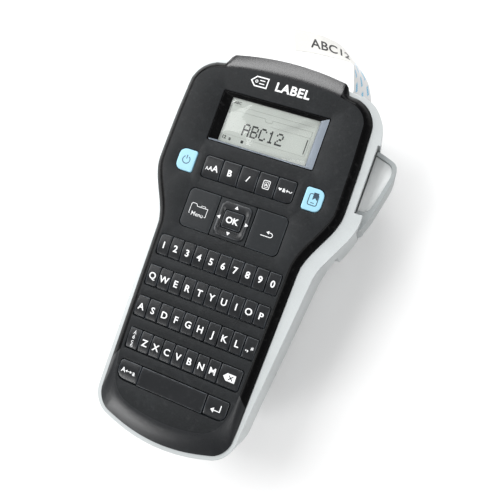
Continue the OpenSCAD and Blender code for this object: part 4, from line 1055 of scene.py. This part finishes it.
side = points[:, 1:2]
rise = TAPE_T + 0.05 + PRINT * points[:, 2:] - HOLLOW * (side / (TAPE_W / 2)) ** 2
ink_black = moulded("ink_black", (0.012, 0.012, 0.014), 0.45, 0.3, 0.002, 0.1, edge_wear_and_painted_light=0)
piece("tape_print", on_tape(place) - on_tape(across) * side + on_tape(out) * rise, faces, [ink_black],
      "housing", weld=1e-5, angle=20)
print("tape, length", round(float(along[-1]), 1), "mm")

# %% [markdown]
# The floor is plain and pale. The background is white to the camera and much dimmer as a light. Of the
# four lamps, those at the head and the foot of the table are mirrored in the slopes of the visor and the
# chin, and those on the left and the right shape the silver sides.
# %% Floor and lights
FLOOR_HALF, FLOOR_Z = 1.0, -0.0003
SKY_LIGHT, SKY_SEEN = 0.3, 1.1
ground = Finish("floor_pale", Roughness=0.7, Specular_IOR_Level=0.2)
ground.set(Base_Color=ground.mix(ground.noise(3, 3), (0.9, 0.9, 0.9), (0.93, 0.93, 0.93)))
floor_mesh = bpy.data.meshes.new("floor")
floor_mesh.from_pydata([(sx * FLOOR_HALF, sy * FLOOR_HALF, FLOOR_Z)
                        for sx, sy in ((-1, -1), (1, -1), (1, 1), (-1, 1))], [], [(0, 1, 2, 3)])
floor_mesh.materials.append(ground.material)
floor_obj = placed("floor", floor_mesh)
world = bpy.data.worlds.new("studio")
world.use_nodes = True
sky = world.node_tree
sky.nodes["Background"].inputs[0].default_value = (1, 1, 1, 1)
seen = sky.nodes.new("ShaderNodeLightPath")
level = sky.nodes.new("ShaderNodeMath")
level.operation = "MULTIPLY_ADD"
level.inputs[1].default_value, level.inputs[2].default_value = SKY_SEEN - SKY_LIGHT, SKY_LIGHT
sky.links.new(seen.outputs["Is Camera Ray"], level.inputs[0])
sky.links.new(level.outputs[0], sky.nodes["Background"].inputs[1])
bpy.context.scene.world = world
bpy.context.scene.view_settings.view_transform = "Standard"


def lamp(name, where, target, size, watts):
    """A rectangular lamp at a place, in metres, turned to look at its target."""
    data = bpy.data.lights.new(name, "AREA")
    data.shape, data.size, data.size_y, data.energy = "RECTANGLE", size[0], size[1], watts
    obj = placed(name, data)
    obj.location = where
    obj.rotation_euler = (Vector(target) - Vector(where)).to_track_quat("-Z", "Y").to_euler()


lamp("head_lamp", (-0.27, 0.79, 0.5), (0, 0.04, 0.05), (0.75, 0.36), 6.8)
lamp("foot_lamp", (-0.46, -0.82, 0.5), (-0.02, -0.14, 0.05), (0.34, 0.34), 3.4)
lamp("left_lamp", (-0.95, 0.15, 0.95), (0, -0.05, 0), (0.8, 1.1), 13)
lamp("right_lamp", (0.55, -0.2, 1.2), (0, -0.05, 0), (0.8, 0.8), 6.5)
print("lamps and floor")
